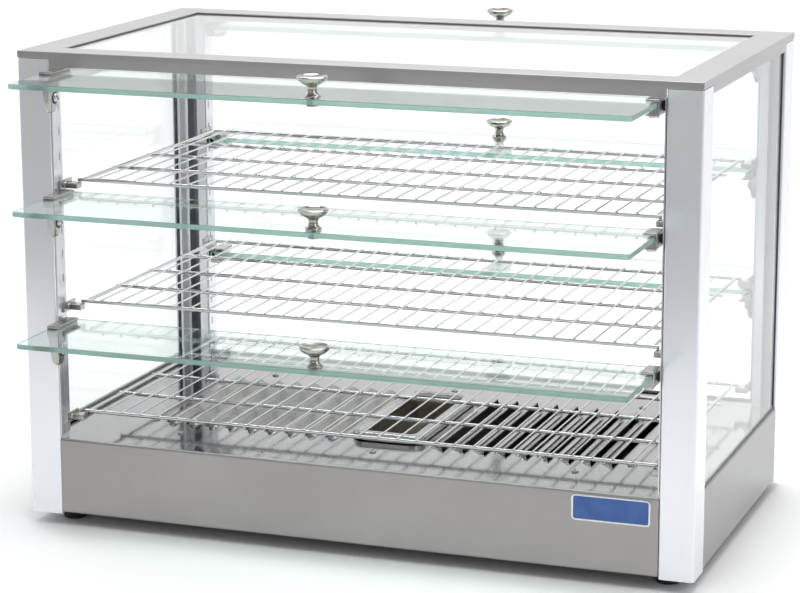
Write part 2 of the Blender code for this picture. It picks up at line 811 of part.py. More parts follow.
def build_doors(materials):
    nut_top = -glass - 2 * fit_gap
    knob_profile = [
        (0.0, knob_height - knob_centre_drop),
        (knob_centre_radius, knob_height - knob_dish_drop),
        (knob_radius - knob_rim_width, knob_height),
        (knob_radius, knob_height - knob_rim_drop),
        (knob_radius - knob_under_width, knob_height - knob_under_drop),
        (knob_neck_radius + knob_flare_width, knob_height - knob_flare_drop),
        (knob_neck_radius, knob_height - knob_neck_drop),
        (knob_foot_radius - knob_foot_taper, knob_foot_height),
        (knob_foot_radius, 0.0),
        (knob_screw_radius, 0.0),
        (knob_screw_radius, nut_top),
        (knob_foot_radius, nut_top),
        (knob_foot_radius - knob_nut_taper, nut_top - knob_nut_height),
        (0.0, nut_top - knob_nut_height),
    ]
    for end, turn, face in (("front", 0.0, -1), ("rear", pi, 1)):
        for level, height in door_levels.items():
            title = end + "_door_" + level
            pivot = bpy.data.objects.new(title + "_pivot", None)
            pivot.location = (0.0, face * pivot_y, height)
            pivot.rotation_euler = (0.0, 0.0, turn)
            case_parts.objects.link(pivot)
            low_z = glass_offset - glass / 2
            outline = rounded_rectangle((-door_half, -door_reach), (door_half, door_tail), glass_corner)
            pane = outline_object(title + "_glass", [outline], glass, "Z", (0.0, 0.0, glass_offset))
            add_to_door(pane, pivot, materials["glass"])
            knob_y = -door_reach + knob_edge_distance
            hole = cylinder_object(title + "_knob_hole", (0.0, knob_y, glass_offset),
                                   knob_screw_radius + pin_clearance, 2 * glass, "Z", screw_sides)
            hole.parent = pivot
            boolean(pane, "DIFFERENCE", hole)
            knob = turned_object(title + "_knob", knob_profile, knob_steps)
            knob.location = (0.0, knob_y, low_z + glass + fit_gap)
            add_to_door(knob, pivot, materials["chrome"])
            stay = clamp_object(title + "_stay_clamp", -1, stay_clamp_reach)
            add_tongue(stay)
            add_to_door(stay, pivot, materials["cast"])
            plain = clamp_object(title + "_plain_clamp", 1, plain_clamp_reach)
            add_clamp_screw(plain)
            add_to_door(plain, pivot, materials["cast"])
            for part in (stay, plain):
                for modifier in part.modifiers:
                    if modifier.type == "BOOLEAN":
                        modifier.object.parent = pivot


# --- base contents ---
def build_water_pan(materials):
    """A pan with its rim turned out and down on to the deck."""
    inner_x, inner_y = pan_width / 2, pan_length / 2
    tub_x, tub_y = inner_x + pan_sheet, inner_y + pan_sheet
    rim_x, rim_y = inner_x + pan_rim, inner_y + pan_rim
    rim_low = deck_z + fit_gap
    rim_high = rim_low + pan_rim_height
    low = rim_high - pan_depth
    rim = outline_object(
        "water_pan", [rounded_rectangle((-rim_x, -rim_y), (rim_x, rim_y), pan_corner)], pan_rim_height, "Z",
        (0.0, 0.0, (rim_low + rim_high) / 2))
    link_part(rim, materials["pan"])
    under_x, under_y = rim_x - pan_sheet, rim_y - pan_sheet
    under = box_object("pan_rim_hollow", (-under_x, -under_y, rim_low - pan_sheet),
                       (under_x, under_y, rim_high - pan_sheet))
    boolean(rim, "DIFFERENCE", under)
    tub = outline_object(
        "pan_tub", [rounded_rectangle((-tub_x, -tub_y), (tub_x, tub_y), pan_corner)],
        pan_depth - pan_sheet / 2, "Z", (0.0, 0.0, low + (pan_depth - pan_sheet / 2) / 2))
    boolean(rim, "UNION", tub)
    cavity = outline_object(
        "pan_cavity", [rounded_rectangle((-inner_x, -inner_y), (inner_x, inner_y), pan_corner - pan_sheet)],
        pan_depth, "Z", (0.0, 0.0, low + pan_sheet + pan_depth / 2))
    boolean(rim, "DIFFERENCE", cavity)


def build_heaters(materials):
    """A hairpin tube element under each group of louvres."""
    for name, side in (("left", -1), ("right", 1)):
        middle = side * louvre_group_middle
        start = -heater_length / 2
        bend = heater_spread / 2
        points = [(middle - bend, start)]
        for step in range(heater_bend_steps + 1):
            angle = pi - step * pi / heater_bend_steps
            points.append((middle + bend * cos(angle), -start - bend + bend * sin(angle)))
        points.append((middle + bend, start))
        curve = bpy.data.curves.new("heating_element_" + name, "CURVE")
        curve.dimensions = "3D"
        curve.bevel_depth = heater_radius
        curve.bevel_resolution = 2
        curve.use_fill_caps = True
        spline = curve.splines.new("POLY")
        spline.points.add(len(points) - 1)
        for point, (across, along) in zip(spline.points, points):
            point.co = (across, along, base_z + heater_height, 1.0)
        heater = mesh_from_curve(bpy.data.objects.new("heating_element_" + name, curve))
        link_part(heater, materials["heater"])
        shade_round(heater)


def build_thermostat(rear_panel, materials, level, outer, inner):
    """The thermostat body behind the panel, its spindle through it, and the dial that turns on that."""
    place = thermostat_place
    bore = thermostat_spindle + pin_clearance
    hole = cylinder_object("spindle_hole", (place, outer, level), bore, 4 * sheet, "Y", control_sides)
    boolean(rear_panel, "DIFFERENCE", hole)
    size_x, size_y, size_z = thermostat_box
    body_front = inner - fit_gap
    body = box_object("thermostat_body", (place - size_x / 2, body_front - size_y, level - size_z / 2),
                      (place + size_x / 2, body_front, level + size_z / 2))
    link_part(body, materials["plastic"])
    bevel(body, thermostat_edge)
    spindle_start = body_front - deep_overlap
    spindle_end = outer + spindle_reach
    spindle = cylinder_object("spindle", (place, (spindle_start + spindle_end) / 2, level),
                              thermostat_spindle, spindle_end - spindle_start, "Y", control_sides)
    boolean(body, "UNION", spindle)
    dial_profile = [
        (0.0, dial_height),
        (dial_top_radius, dial_height),
        (dial_edge_radius, dial_height - dial_edge_drop),
        (dial_grip_radius, dial_skirt_top),
        (dial_radius, dial_skirt_height),
        (dial_radius, 0.0),
        (0.0, 0.0),
    ]
    dial = turned_object("thermostat_knob", dial_profile, dial_steps)
    dial.rotation_euler = (-pi / 2, 0.0, 0.0)
    dial.location = (place, outer + dial_gap, level)
    link_part(dial, materials["plastic"])
    pocket = cylinder_object("dial_bore", (place, outer, level), bore,
                             2 * (spindle_reach + dial_bore_spare), "Y", control_sides)
    boolean(dial, "DIFFERENCE", pocket)


def build_lamp(rear_panel, materials, level, outer):
    hole = cylinder_object("lamp_hole", (lamp_place, outer, level), lamp_radius + pin_clearance, 4 * sheet,
                           "Y", control_sides)
    boolean(rear_panel, "DIFFERENCE", hole)
    middle_y = outer - lamp_depth + lamp_length / 2
    lamp = cylinder_object("indicator_lamp", (lamp_place, middle_y, level), lamp_radius, lamp_length, "Y",
                           control_sides)
    link_part(lamp, materials["lamp"])
    rim_y = outer + fit_gap + lamp_rim_height / 2
    rim = cylinder_object("lamp_rim", (lamp_place, rim_y, level), lamp_radius + lamp_rim, lamp_rim_height,
                          "Y", control_sides, lamp_radius)
    boolean(lamp, "UNION", rim)


def build_gland(rear_panel, materials, level, outer):
    hole = cylinder_object("gland_hole", (gland_place, outer, level), gland_thread_radius + pin_clearance,
                           4 * sheet, "Y", control_sides)
    boolean(rear_panel, "DIFFERENCE", hole)
    middle_y = outer + fit_gap + gland_reach / 2
    gland = cylinder_object("cable_gland", (gland_place, middle_y, level), gland_radius, gland_reach, "Y",
                            control_sides, gland_tip_radius)
    link_part(gland, materials["plastic"])
    thread_y = outer - gland_thread_depth + gland_thread_length / 2
    thread = cylinder_object("gland_thread", (gland_place, thread_y, level), gland_thread_radius,
                             gland_thread_length, "Y", control_sides)
    boolean(gland, "UNION", thread)
    bore = cylinder_object("gland_bore", (gland_place, middle_y, level), gland_bore, 3 * gland_reach, "Y",
                           control_sides)
    boolean(gland, "DIFFERENCE", bore)


def build_switch(rear_panel, materials, level, outer, inner):
    """A housing snapped into the panel, with a pocket for the rocker."""
    half_x, half_z = switch_opening[0] / 2, switch_opening[1] / 2
    body_x, body_z = half_x + switch_wall, half_z + switch_wall
    place = switch_place
    hole_x, hole_z = body_x + fit_gap, body_z + fit_gap
    hole = box_object("switch_hole", (place - hole_x, inner - sheet, level - hole_z),
                      (place + hole_x, outer + sheet, level + hole_z))
    boolean(rear_panel, "DIFFERENCE", hole)
    back = outer - switch_depth
    flange_low = outer + fit_gap
    housing = box_object("power_switch_housing", (place - body_x, back, level - body_z),
                         (place + body_x, flange_low + overlap, level + body_z))
    link_part(housing, materials["plastic"])
    rim_x, rim_z = body_x + switch_bezel, body_z + switch_bezel
    flange = box_object("switch_flange", (place - rim_x, flange_low, level - rim_z),
                        (place + rim_x, flange_low + switch_bezel, level + rim_z))
    boolean(housing, "UNION", flange)
    cavity = box_object("switch_cavity", (place - half_x, back + switch_wall, level - half_z),
                        (place + half_x, outer + switch_depth, level + half_z))
    boolean(housing, "DIFFERENCE", cavity)
    build_rocker(materials, level, outer, half_x, half_z)


def build_rocker(materials, level, outer, half_x, half_z):
    """A wedge with two faces that rocks about a line across its middle, in the panel's face."""
    reach = half_z - rocker_clearance
    back = rocker_front - rocker_thickness
    pressed = rocker_front - sin(radians(rocker_half_throw)) * reach
    profile = [
        (-reach, back + rocker_back_slope),
        (0.0, back),
        (reach, back + rocker_back_slope),
        (reach, pressed),
        (0.0, rocker_front - rocker_waist),
        (-reach, rocker_front + rocker_proud),
    ]
    loop = [(along, up) for up, along in profile]
    rocker = outline_object("power_switch_rocker", [loop], 2 * (half_x - rocker_clearance), "X",
                            (switch_place, outer, level))
    link_part(rocker, materials["rocker"])


def build_controls(rear_panel, materials):
    """Thermostat, lamp, rocker switch and cable gland, all fitted in the rear panel."""
    level = base_z + control_height
    outer = half_depth - panel_recess
    inner = outer - sheet
    build_thermostat(rear_panel, materials, level, outer, inner)
    build_lamp(rear_panel, materials, level, outer)
    build_switch(rear_panel, materials, level, outer, inner)
    build_gland(rear_panel, materials, level, outer)


def build_badge(materials):
    low_y = -(half_depth - panel_recess + fit_gap)
    loop = rounded_rectangle((-badge_width / 2, -badge_height / 2), (badge_width / 2, badge_height / 2),
                             badge_corner)
    badge = outline_object("plain_badge", [loop], badge_thickness, "Y",
                           (badge_middle, low_y - badge_thickness / 2, base_z + badge_level))
    link_part(badge, materials["badge"])


def build_case():
    global case_parts, cutters
    clear_scene()
    case_parts = new_collection("hot_food_display_case")
    cutters = new_collection("cutters")
    materials = {
        "post": make_material("anodised_aluminium", (0.80, 0.81, 0.84), 0.28, 0.9),
        "frame": make_material("satin_frame", (0.64, 0.64, 0.66), 0.35, 0.8),
        "panel": make_material("brushed_panel", (0.42, 0.41, 0.41), 0.38, 0.8),
        "deck": make_material("deck_steel", (0.55, 0.55, 0.56), 0.2, 1.0),
        "pan": make_material("pan_steel", (0.55, 0.55, 0.54), 0.3, 1.0),
        "glass": make_material("clear_glass", (0.85, 0.95, 0.92), 0.02, 0.0, 1.0),
        "chrome": make_material("chrome_plate", (0.75, 0.75, 0.76), 0.12, 1.0),
        "cast": make_material("nickel_casting", (0.60, 0.60, 0.56), 0.28, 1.0),
        "rubber": make_material("black_rubber", (0.02, 0.02, 0.02), 0.7),
        "heater": make_material("heater_sheath", (0.16, 0.15, 0.14), 0.5, 0.8),
        "plastic": make_material("black_plastic", (0.02, 0.02, 0.02), 0.4),
        "rocker": make_material("rocker_red", (0.55, 0.04, 0.03), 0.3),
        "lamp": make_material("lamp_amber", (0.90, 0.45, 0.05), 0.2),
        "badge": make_material("badge_blue", (0.05, 0.12, 0.38), 0.3),
    }
    build_feet(materials)
    build_posts(materials)
    panels = build_end_panels(materials)
    build_side_panels(materials)
    build_bottom_plate(materials)
    build_deck(materials)
    build_top_frame(materials)
    build_side_glass(materials)
    build_rails(materials)
    build_shelves(materials)
    build_doors(materials)
    build_water_pan(materials)
    build_heaters(materials)
    build_controls(panels["rear"], materials)
    build_badge(materials)


build_case()
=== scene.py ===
import json
from math import cos, sin, pi, radians

import bmesh
import bpy
from mathutils import Matrix, Vector


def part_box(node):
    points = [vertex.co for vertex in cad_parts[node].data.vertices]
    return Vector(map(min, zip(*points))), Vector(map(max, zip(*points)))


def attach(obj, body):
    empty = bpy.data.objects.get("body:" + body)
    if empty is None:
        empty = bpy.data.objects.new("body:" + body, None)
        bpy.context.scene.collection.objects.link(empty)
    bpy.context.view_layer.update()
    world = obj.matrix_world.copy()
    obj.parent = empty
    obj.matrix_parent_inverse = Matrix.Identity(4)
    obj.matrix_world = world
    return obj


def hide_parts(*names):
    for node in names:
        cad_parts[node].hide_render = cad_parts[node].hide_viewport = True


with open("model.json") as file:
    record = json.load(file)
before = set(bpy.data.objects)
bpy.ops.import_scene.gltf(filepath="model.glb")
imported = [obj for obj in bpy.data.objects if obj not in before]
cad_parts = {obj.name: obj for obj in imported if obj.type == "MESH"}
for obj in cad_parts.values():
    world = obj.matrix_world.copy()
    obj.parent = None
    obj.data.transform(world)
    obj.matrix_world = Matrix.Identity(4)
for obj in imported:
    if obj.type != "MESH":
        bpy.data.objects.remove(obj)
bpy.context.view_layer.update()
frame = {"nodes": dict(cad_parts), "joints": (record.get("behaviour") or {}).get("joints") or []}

scene = bpy.context.scene
cornerSigns = {"front_left": (-1, -1), "front_right": (1, -1), "rear_left": (-1, 1), "rear_right": (1, 1)}
levels = ("upper", "middle", "lower")
ends = ("front", "rear")
joints = {joint["name"]: joint for joint in frame["joints"]}
finish = {}     # materials by name
groups = {}     # shader node groups by name

# sizes that several pieces share, all read from the frame
frameLow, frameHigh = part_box("top_frame")
postLow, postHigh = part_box("post_front_left")
halfWidth, halfDepth = frameHigh.x, frameHigh.y
postInner = -postHigh.x
postBack = -postHigh.y
topZ, baseZ, postTop = frameHigh.z, postLow.z, postHigh.z
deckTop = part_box("front_base_panel")[1].z - 0.0025
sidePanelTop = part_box("left_base_panel")[1].z


# node trees

def addNode(tree, kind, **values):
    node = tree.nodes.new(kind)
    for name, value in values.items():
        if hasattr(node, name):
            setattr(node, name, value)
        else:
            node.inputs[name.replace("_", " ")].default_value = value
    return node


def mixColours(tree):
    # a colour mix node's factor, two colours and result; its sockets share names, so they go by place
    node = tree.nodes.new("ShaderNodeMix")
    node.data_type = "RGBA"
    return node.inputs[0], node.inputs[6], node.inputs[7], node.outputs[2]


def newGroup(name, inputs, outputs):
    tree = bpy.data.node_groups.new(name, "ShaderNodeTree")
    for label, kind, value in inputs:
        socket = tree.interface.new_socket(label, in_out="INPUT", socket_type=kind)
        socket.default_value = value
    for label, kind in outputs:
        tree.interface.new_socket(label, in_out="OUTPUT", socket_type=kind)
    return tree, tree.nodes.new("NodeGroupInput"), tree.nodes.new("NodeGroupOutput")


def buildBrushGroup():
    # long fine scratches: Stretch is small along the brushing and large across it
    tree, start, end = newGroup("brushedGrain", [
        ("Stretch", "NodeSocketVector", (4.0, 900.0, 900.0)),
        ("Depth", "NodeSocketFloat", 0.05),
        ("Roughness Low", "NodeSocketFloat", 0.2),
        ("Roughness High", "NodeSocketFloat", 0.3),
    ], [("Mask", "NodeSocketFloat"), ("Roughness", "NodeSocketFloat"), ("Normal", "NodeSocketVector")])
    place = addNode(tree, "ShaderNodeTexCoord")
    stretched = addNode(tree, "ShaderNodeVectorMath", operation="MULTIPLY")
    noise = addNode(tree, "ShaderNodeTexNoise", Scale=1.0, Detail=3.0, Roughness=0.6)
    rough = addNode(tree, "ShaderNodeMapRange")
    bump = addNode(tree, "ShaderNodeBump", Distance=0.0002)
    link = tree.links.new
    link(place.outputs["Object"], stretched.inputs[0])
    link(start.outputs["Stretch"], stretched.inputs[1])
    link(stretched.outputs[0], noise.inputs["Vector"])
    link(noise.outputs["Fac"], rough.inputs["Value"])
    link(start.outputs["Roughness Low"], rough.inputs["To Min"])
    link(start.outputs["Roughness High"], rough.inputs["To Max"])
    link(noise.outputs["Fac"], bump.inputs["Height"])
    link(start.outputs["Depth"], bump.inputs["Strength"])
    link(noise.outputs["Fac"], end.inputs["Mask"])
    link(rough.outputs["Result"], end.inputs["Roughness"])
    link(bump.outputs["Normal"], end.inputs["Normal"])
    return tree


def buildWearGroup():
    # edges and corners, found by how far a rounded normal leans away from the true one
    tree, start, end = newGroup("edgeWear", [
        ("Radius", "NodeSocketFloat", 0.0008),
        ("Amount", "NodeSocketFloat", 0.5),
        ("Patch Scale", "NodeSocketFloat", 120.0),
    ], [("Mask", "NodeSocketFloat")])
    bevel = addNode(tree, "ShaderNodeBevel", samples=4)
    shape = addNode(tree, "ShaderNodeNewGeometry")
    dot = addNode(tree, "ShaderNodeVectorMath", operation="DOT_PRODUCT")
    lean = addNode(tree, "ShaderNodeMapRange", From_Min=0.995, From_Max=0.85)
    place = addNode(tree, "ShaderNodeTexCoord")
    noise = addNode(tree, "ShaderNodeTexNoise", Detail=3.0)
    patch = addNode(tree, "ShaderNodeMapRange", From_Min=0.35, From_Max=0.6)
    both = addNode(tree, "ShaderNodeMath", operation="MULTIPLY")
    scaled = addNode(tree, "ShaderNodeMath", operation="MULTIPLY", use_clamp=True)
    link = tree.links.new
    link(start.outputs["Radius"], bevel.inputs["Radius"])
    link(bevel.outputs["Normal"], dot.inputs[0])
    link(shape.outputs["Normal"], dot.inputs[1])
    link(dot.outputs["Value"], lean.inputs["Value"])
    link(place.outputs["Object"], noise.inputs["Vector"])
    link(start.outputs["Patch Scale"], noise.inputs["Scale"])
    link(noise.outputs["Fac"], patch.inputs["Value"])
    link(lean.outputs["Result"], both.inputs[0])
    link(patch.outputs["Result"], both.inputs[1])
    link(both.outputs[0], scaled.inputs[0])
    link(start.outputs["Amount"], scaled.inputs[1])
    link(scaled.outputs[0], end.inputs["Mask"])
    return tree


def buildTintGroup():
    # slow variation of one colour into another, as handling and polishing leave it
    tree, start, end = newGroup("slowTint", [
        ("Colour A", "NodeSocketColor", (0.5, 0.5, 0.5, 1.0)),
        ("Colour B", "NodeSocketColor", (0.6, 0.6, 0.6, 1.0)),
        ("Scale", "NodeSocketFloat", 12.0),
    ], [("Colour", "NodeSocketColor"), ("Mask", "NodeSocketFloat")])
    place = addNode(tree, "ShaderNodeTexCoord")
    noise = addNode(tree, "ShaderNodeTexNoise", Detail=4.0, Roughness=0.55)
    spread = addNode(tree, "ShaderNodeMapRange", From_Min=0.3, From_Max=0.7)
    factor, colourA, colourB, result = mixColours(tree)
    link = tree.links.new
    link(place.outputs["Object"], noise.inputs["Vector"])
    link(start.outputs["Scale"], noise.inputs["Scale"])
    link(noise.outputs["Fac"], spread.inputs["Value"])
    link(spread.outputs["Result"], factor)
    link(start.outputs["Colour A"], colourA)
    link(start.outputs["Colour B"], colourB)
    link(result, end.inputs["Colour"])
    link(spread.outputs["Result"], end.inputs["Mask"])
    return tree


# finishes

def newFinish(name, colour, **values):
    material = bpy.data.materials.new(name)
    material.use_nodes = True
    tree = material.node_tree
    shader = tree.nodes["Principled BSDF"]
    shader.inputs["Base Color"].default_value = (*colour, 1.0)
    for label, value in values.items():
        shader.inputs[label.replace("_", " ")].default_value = value
    finish[name] = material
    return tree, shader


def placeGroup(tree, group, **values):
    node = tree.nodes.new("ShaderNodeGroup")
    node.node_tree = group
    for label, value in values.items():
        node.inputs[label.replace("_", " ")].default_value = value
    return node


def addTint(tree, shader, low, high, scale, wear=None, worn=None):
    # the base colour drifts between two tones, and turns to a third along worn edges
    tint = placeGroup(tree, groups["tint"], Colour_A=(*low, 1.0), Colour_B=(*high, 1.0), Scale=scale)
    if wear is None:
        tree.links.new(tint.outputs["Colour"], shader.inputs["Base Color"])
        return tint
    factor, colourA, colourB, result = mixColours(tree)
    colourB.default_value = (*worn, 1.0)
    tree.links.new(wear.outputs["Mask"], factor)
    tree.links.new(tint.outputs["Colour"], colourA)
    tree.links.new(result, shader.inputs["Base Color"])
    return tint


def texturedFinish(name, low, high, worn, rough, stretch, depth, tintScale, wearValues, metallic=0.0):
    tree, shader = newFinish(name, low, Metallic=metallic)
    brush = placeGroup(tree, groups["brush"], Stretch=stretch, Depth=depth, Roughness_Low=rough[0],
                       Roughness_High=rough[1])
    wear = placeGroup(tree, groups["wear"], Radius=wearValues[0], Amount=wearValues[1])
    addTint(tree, shader, low, high, tintScale, wear, worn)
    tree.links.new(brush.outputs["Roughness"], shader.inputs["Roughness"])
    tree.links.new(brush.outputs["Normal"], shader.inputs["Normal"])


def glassFinish(name, low, high):
    # clear glass that lets the lamps light what is behind it, faintly smeared by cleaning
    tree, shader = newFinish(name, low, Metallic=0.0, Transmission_Weight=1.0, IOR=1.5)
    tint = addTint(tree, shader, low, high, 3.0)
    haze = addNode(tree, "ShaderNodeMapRange", To_Min=0.0, To_Max=0.012)
    tree.links.new(tint.outputs["Mask"], haze.inputs["Value"])
    tree.links.new(haze.outputs["Result"], shader.inputs["Roughness"])
    path = addNode(tree, "ShaderNodeLightPath")
    addClear(tree, path.outputs["Is Shadow Ray"], (0.965, 0.975, 0.972))


def addClear(tree, factor, colour):
    # the material turns clear where the factor says
    clear = addNode(tree, "ShaderNodeBsdfTransparent", Color=(*colour, 1.0))
    mix = addNode(tree, "ShaderNodeMixShader")
    tree.links.new(factor, mix.inputs[0])
    tree.links.new(tree.nodes["Principled BSDF"].outputs[0], mix.inputs[1])
    tree.links.new(clear.outputs[0], mix.inputs[2])
    tree.links.new(mix.outputs[0], tree.nodes["Material Output"].inputs["Surface"])


def buildFinishes():
    groups.update(brush=buildBrushGroup(), wear=buildWearGroup(), tint=buildTintGroup())
    long, fine = 4.0, 2400.0    # scratches to the metre, along the brushing and across it
    alongX, alongY, alongZ = (long, fine, fine), (fine, long, fine), (fine, fine, long)
    worn = (0.82, 0.82, 0.83)
    # low and high colour, worn colour, roughness range, stretch of the grain, depth, metallic
    metals = {
        "postSilver": ((0.90, 0.91, 0.945), (0.93, 0.94, 0.97), (0.95, 0.95, 0.97), (0.185, 0.200), alongZ,
                       0.002, 0.56),
        # the posts' channel floor, much darker than the post: painted shade for the deep recess
        "postRecessPaintedShade": ((0.40, 0.41, 0.44), (0.50, 0.51, 0.54), worn, (0.30, 0.42), alongZ, 0.03, 1),
        "frameSteelX": ((0.495, 0.48, 0.475), (0.54, 0.525, 0.52), worn, (0.26, 0.36), alongX, 0.02, 1),
        "frameSteelY": ((0.485, 0.48, 0.485), (0.53, 0.525, 0.53), worn, (0.26, 0.36), alongY, 0.02, 1),
        "panelSteelX": ((0.355, 0.338, 0.332), (0.39, 0.372, 0.366), worn, (0.28, 0.36), alongX, 0.01, 1),
        "panelSteelY": ((0.35, 0.345, 0.35), (0.39, 0.385, 0.39), worn, (0.28, 0.36), alongY, 0.01, 1),
        "deckSteel": ((0.355, 0.345, 0.35), (0.395, 0.385, 0.39), worn, (0.08, 0.11), alongX, 0.002, 1),
        "louvreSteel": ((0.30, 0.29, 0.275), (0.37, 0.36, 0.345), worn, (0.20, 0.28), alongY, 0.02, 1),
        "panSteel": ((0.46, 0.455, 0.44), (0.55, 0.545, 0.53), worn, (0.16, 0.28), alongY, 0.03, 1),
        # the pan's inside, darker and browner: partly a stain, partly painted shade
        "panInsideStainAndShade": ((0.26, 0.235, 0.20), (0.36, 0.335, 0.29), (0.45, 0.43, 0.39), (0.22, 0.36), alongY,
                      0.04, 0.9),
        "shelfChrome": ((0.62, 0.62, 0.63), (0.72, 0.72, 0.73), worn, (0.06, 0.11), (90.0,) * 3, 0.02, 1),
        "railSteel": ((0.72, 0.725, 0.75), (0.80, 0.805, 0.83), worn, (0.22, 0.32), alongZ, 0.01, 1),
        "polishedNickel": ((0.42, 0.40, 0.37), (0.50, 0.48, 0.45), worn, (0.07, 0.14), (120.0,) * 3, 0.01, 1),
        "castNickel": ((0.42, 0.415, 0.395), (0.52, 0.515, 0.495), worn, (0.20, 0.28), (260.0,) * 3, 0.02, 1),
        "screwSteel": ((0.52, 0.52, 0.52), (0.60, 0.60, 0.60), worn, (0.14, 0.24), (200.0,) * 3, 0.02, 1),
        "heaterSheath": ((0.10, 0.09, 0.085), (0.17, 0.15, 0.13), (0.3, 0.28, 0.26), (0.4, 0.6), (140.0,) * 3,
                         0.08, 0.8),
    }
    # the same without metallic; the grain is a pebble as fine in every direction
    moulded = {
        "blackRubber": ((0.016, 0.016, 0.016), (0.026, 0.026, 0.027), (0.06, 0.06, 0.06), (0.55, 0.75),
                        900.0, 0.15),
        "blackPlastic": ((0.014, 0.014, 0.015), (0.022, 0.022, 0.023), (0.07, 0.07, 0.07), (0.30, 0.45),
                         1400.0, 0.08),
        "greySeal": ((0.20, 0.205, 0.21), (0.26, 0.265, 0.27), (0.35, 0.35, 0.35), (0.45, 0.60), 900.0, 0.08),
        "scaleWhite": ((0.72, 0.72, 0.72), (0.80, 0.80, 0.80), (0.6, 0.6, 0.6), (0.35, 0.5), 900.0, 0.03),
        "rockerRed": ((0.50, 0.035, 0.025), (0.58, 0.05, 0.035), (0.7, 0.2, 0.18), (0.18, 0.28), 600.0, 0.02),
        "lampAmber": ((0.85, 0.38, 0.04), (0.92, 0.48, 0.07), (0.95, 0.6, 0.2), (0.08, 0.16), 300.0, 0.02),
        "badgeEnamel": ((0.035, 0.10, 0.34), (0.05, 0.14, 0.42), (0.3, 0.4, 0.6), (0.14, 0.22), 400.0, 0.01),
        "greenEdge": ((0.46, 0.80, 0.69), (0.58, 0.88, 0.79), (0.74, 0.94, 0.87), (0.30, 0.42), 700.0, 0.04),
    }
    for name, (low, high, edge, rough, stretch, depth, metallic) in metals.items():
        texturedFinish(name, low, high, edge, rough, stretch, depth, 9.0, (0.0008, 0.6), metallic)
    for name, (low, high, edge, rough, grain, depth) in moulded.items():
        texturedFinish(name, low, high, edge, rough, (grain,) * 3, depth, 60.0, (0.0006, 0.5))
    # light gets into the ground edges of the glass
    finish["greenEdge"].node_tree.nodes["Principled BSDF"].inputs["Transmission Weight"].default_value = 0.78
    glassFinish("doorGlass", (0.85, 0.94, 0.91), (0.885, 0.955, 0.93))
    glassFinish("paneGlass", (0.95, 0.98, 0.97), (0.97, 0.99, 0.985))
    print("finishes", len(finish))


# shapes

def newPiece(name, shape, materials, body, nodes=(), angle=35):
    bmesh.ops.recalc_face_normals(shape, faces=shape.faces)
    mesh = bpy.data.meshes.new(name)
    shape.to_mesh(mesh)
    shape.free()
    mesh.shade_smooth()
    mesh.set_sharp_from_angle(angle=radians(angle))
    piece = bpy.data.objects.new(name, mesh)
    scene.collection.objects.link(piece)
    for material in materials:
        mesh.materials.append(finish[material])
    flatter = piece.modifiers.new("flatter", "WEIGHTED_NORMAL")
    flatter.keep_sharp = True
    flatter.weight = 100
    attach(piece, body)
    if nodes:
        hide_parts(*nodes)
    return piece


def keepNode(name, material):
    # a CAD node that stays as it is, in a better material
    frame["nodes"][name].data.materials.clear()
    frame["nodes"][name].data.materials.append(finish[material])


def finishFaces(shape, before, matrix, materialIndex):
    # the faces made since before go through matrix and take a material
    made = [face for face in shape.faces if face not in before]
    verts = list({vert for face in made for vert in face.verts})
    if matrix is not None:
        bmesh.ops.transform(shape, matrix=matrix, verts=verts)
    for face in made:
        face.material_index = materialIndex
    return made


def paintFaces(shape, test):
    # the faces that pass take the second material
    shape.normal_update()
    for face in shape.faces:
        face.material_index = int(test(face.calc_center_median(), face.normal))


def addBlock(shape, low, high, edge, materialIndex=0, matrix=None, segments=2):
    before = set(shape.faces)
    low, high = Vector(low), Vector(high)
    made = bmesh.ops.create_cube(shape, size=1.0)["verts"]
    bmesh.ops.scale(shape, vec=high - low, verts=made)
    bmesh.ops.translate(shape, vec=(low + high) / 2, verts=made)
    edges = list({line for vert in made for line in vert.link_edges})
    bmesh.ops.bevel(shape, geom=edges, offset=edge, segments=segments, profile=0.5, affect="EDGES")
    return finishFaces(shape, before, matrix, materialIndex)


def addLoft(shape, rings, closeStart, closeEnd, materialIndex=0, matrix=None):
    # rings of equally many points, bridged one to the next
    before = set(shape.faces)
    loops = [[shape.verts.new(point) for point in ring] for ring in rings]
    count = len(loops[0])
    for lower, upper in zip(loops, loops[1:]):
        for index in range(count):
            after = (index + 1) % count
            shape.faces.new((lower[index], lower[after], upper[after], upper[index]))
    if closeStart:
        shape.faces.new(loops[0])
    if closeEnd:
        shape.faces.new(loops[-1])
    return finishFaces(shape, before, matrix, materialIndex)


def circle(radius, height, sides):
    turns = [2 * pi * k / sides for k in range(sides)]
    return [(radius * cos(turn), radius * sin(turn), height) for turn in turns]


def addTurned(shape, profile, sides, materialIndex=0, matrix=None):
    # a profile of (radius, height) turned about Z, closed at both ends
    rings = [circle(radius, height, sides) for radius, height in profile]
    return addLoft(shape, rings, True, True, materialIndex, matrix)


def roundedLoop(halfX, halfY, radius, height, steps=6):
    points = []
    for quarter, (signX, signY) in enumerate(((1, 1), (-1, 1), (-1, -1), (1, -1))):
        for step in range(steps + 1):
            angle = (quarter + step / steps) * pi / 2
            points.append((signX * (halfX - radius) + radius * cos(angle),
                           signY * (halfY - radius) + radius * sin(angle), height))
    return points


def towards(axis):
    # turns +Z to the given direction
    return Vector((0.0, 0.0, 1.0)).rotation_difference(Vector(axis)).to_matrix().to_4x4()


def addRod(shape, start, end, radius, sides=12, materialIndex=0, dome=0.35):
    # a straight wire with rounded ends
    start, end = Vector(start), Vector(end)
    length = (end - start).length
    tip = radius * dome
    profile = [(radius * 0.55, 0.0), (radius * 0.86, tip * 0.35), (radius, tip), (radius, length - tip),
               (radius * 0.86, length - tip * 0.35), (radius * 0.55, length)]
    addTurned(shape, profile, sides, materialIndex, Matrix.Translation(start) @ towards(end - start))


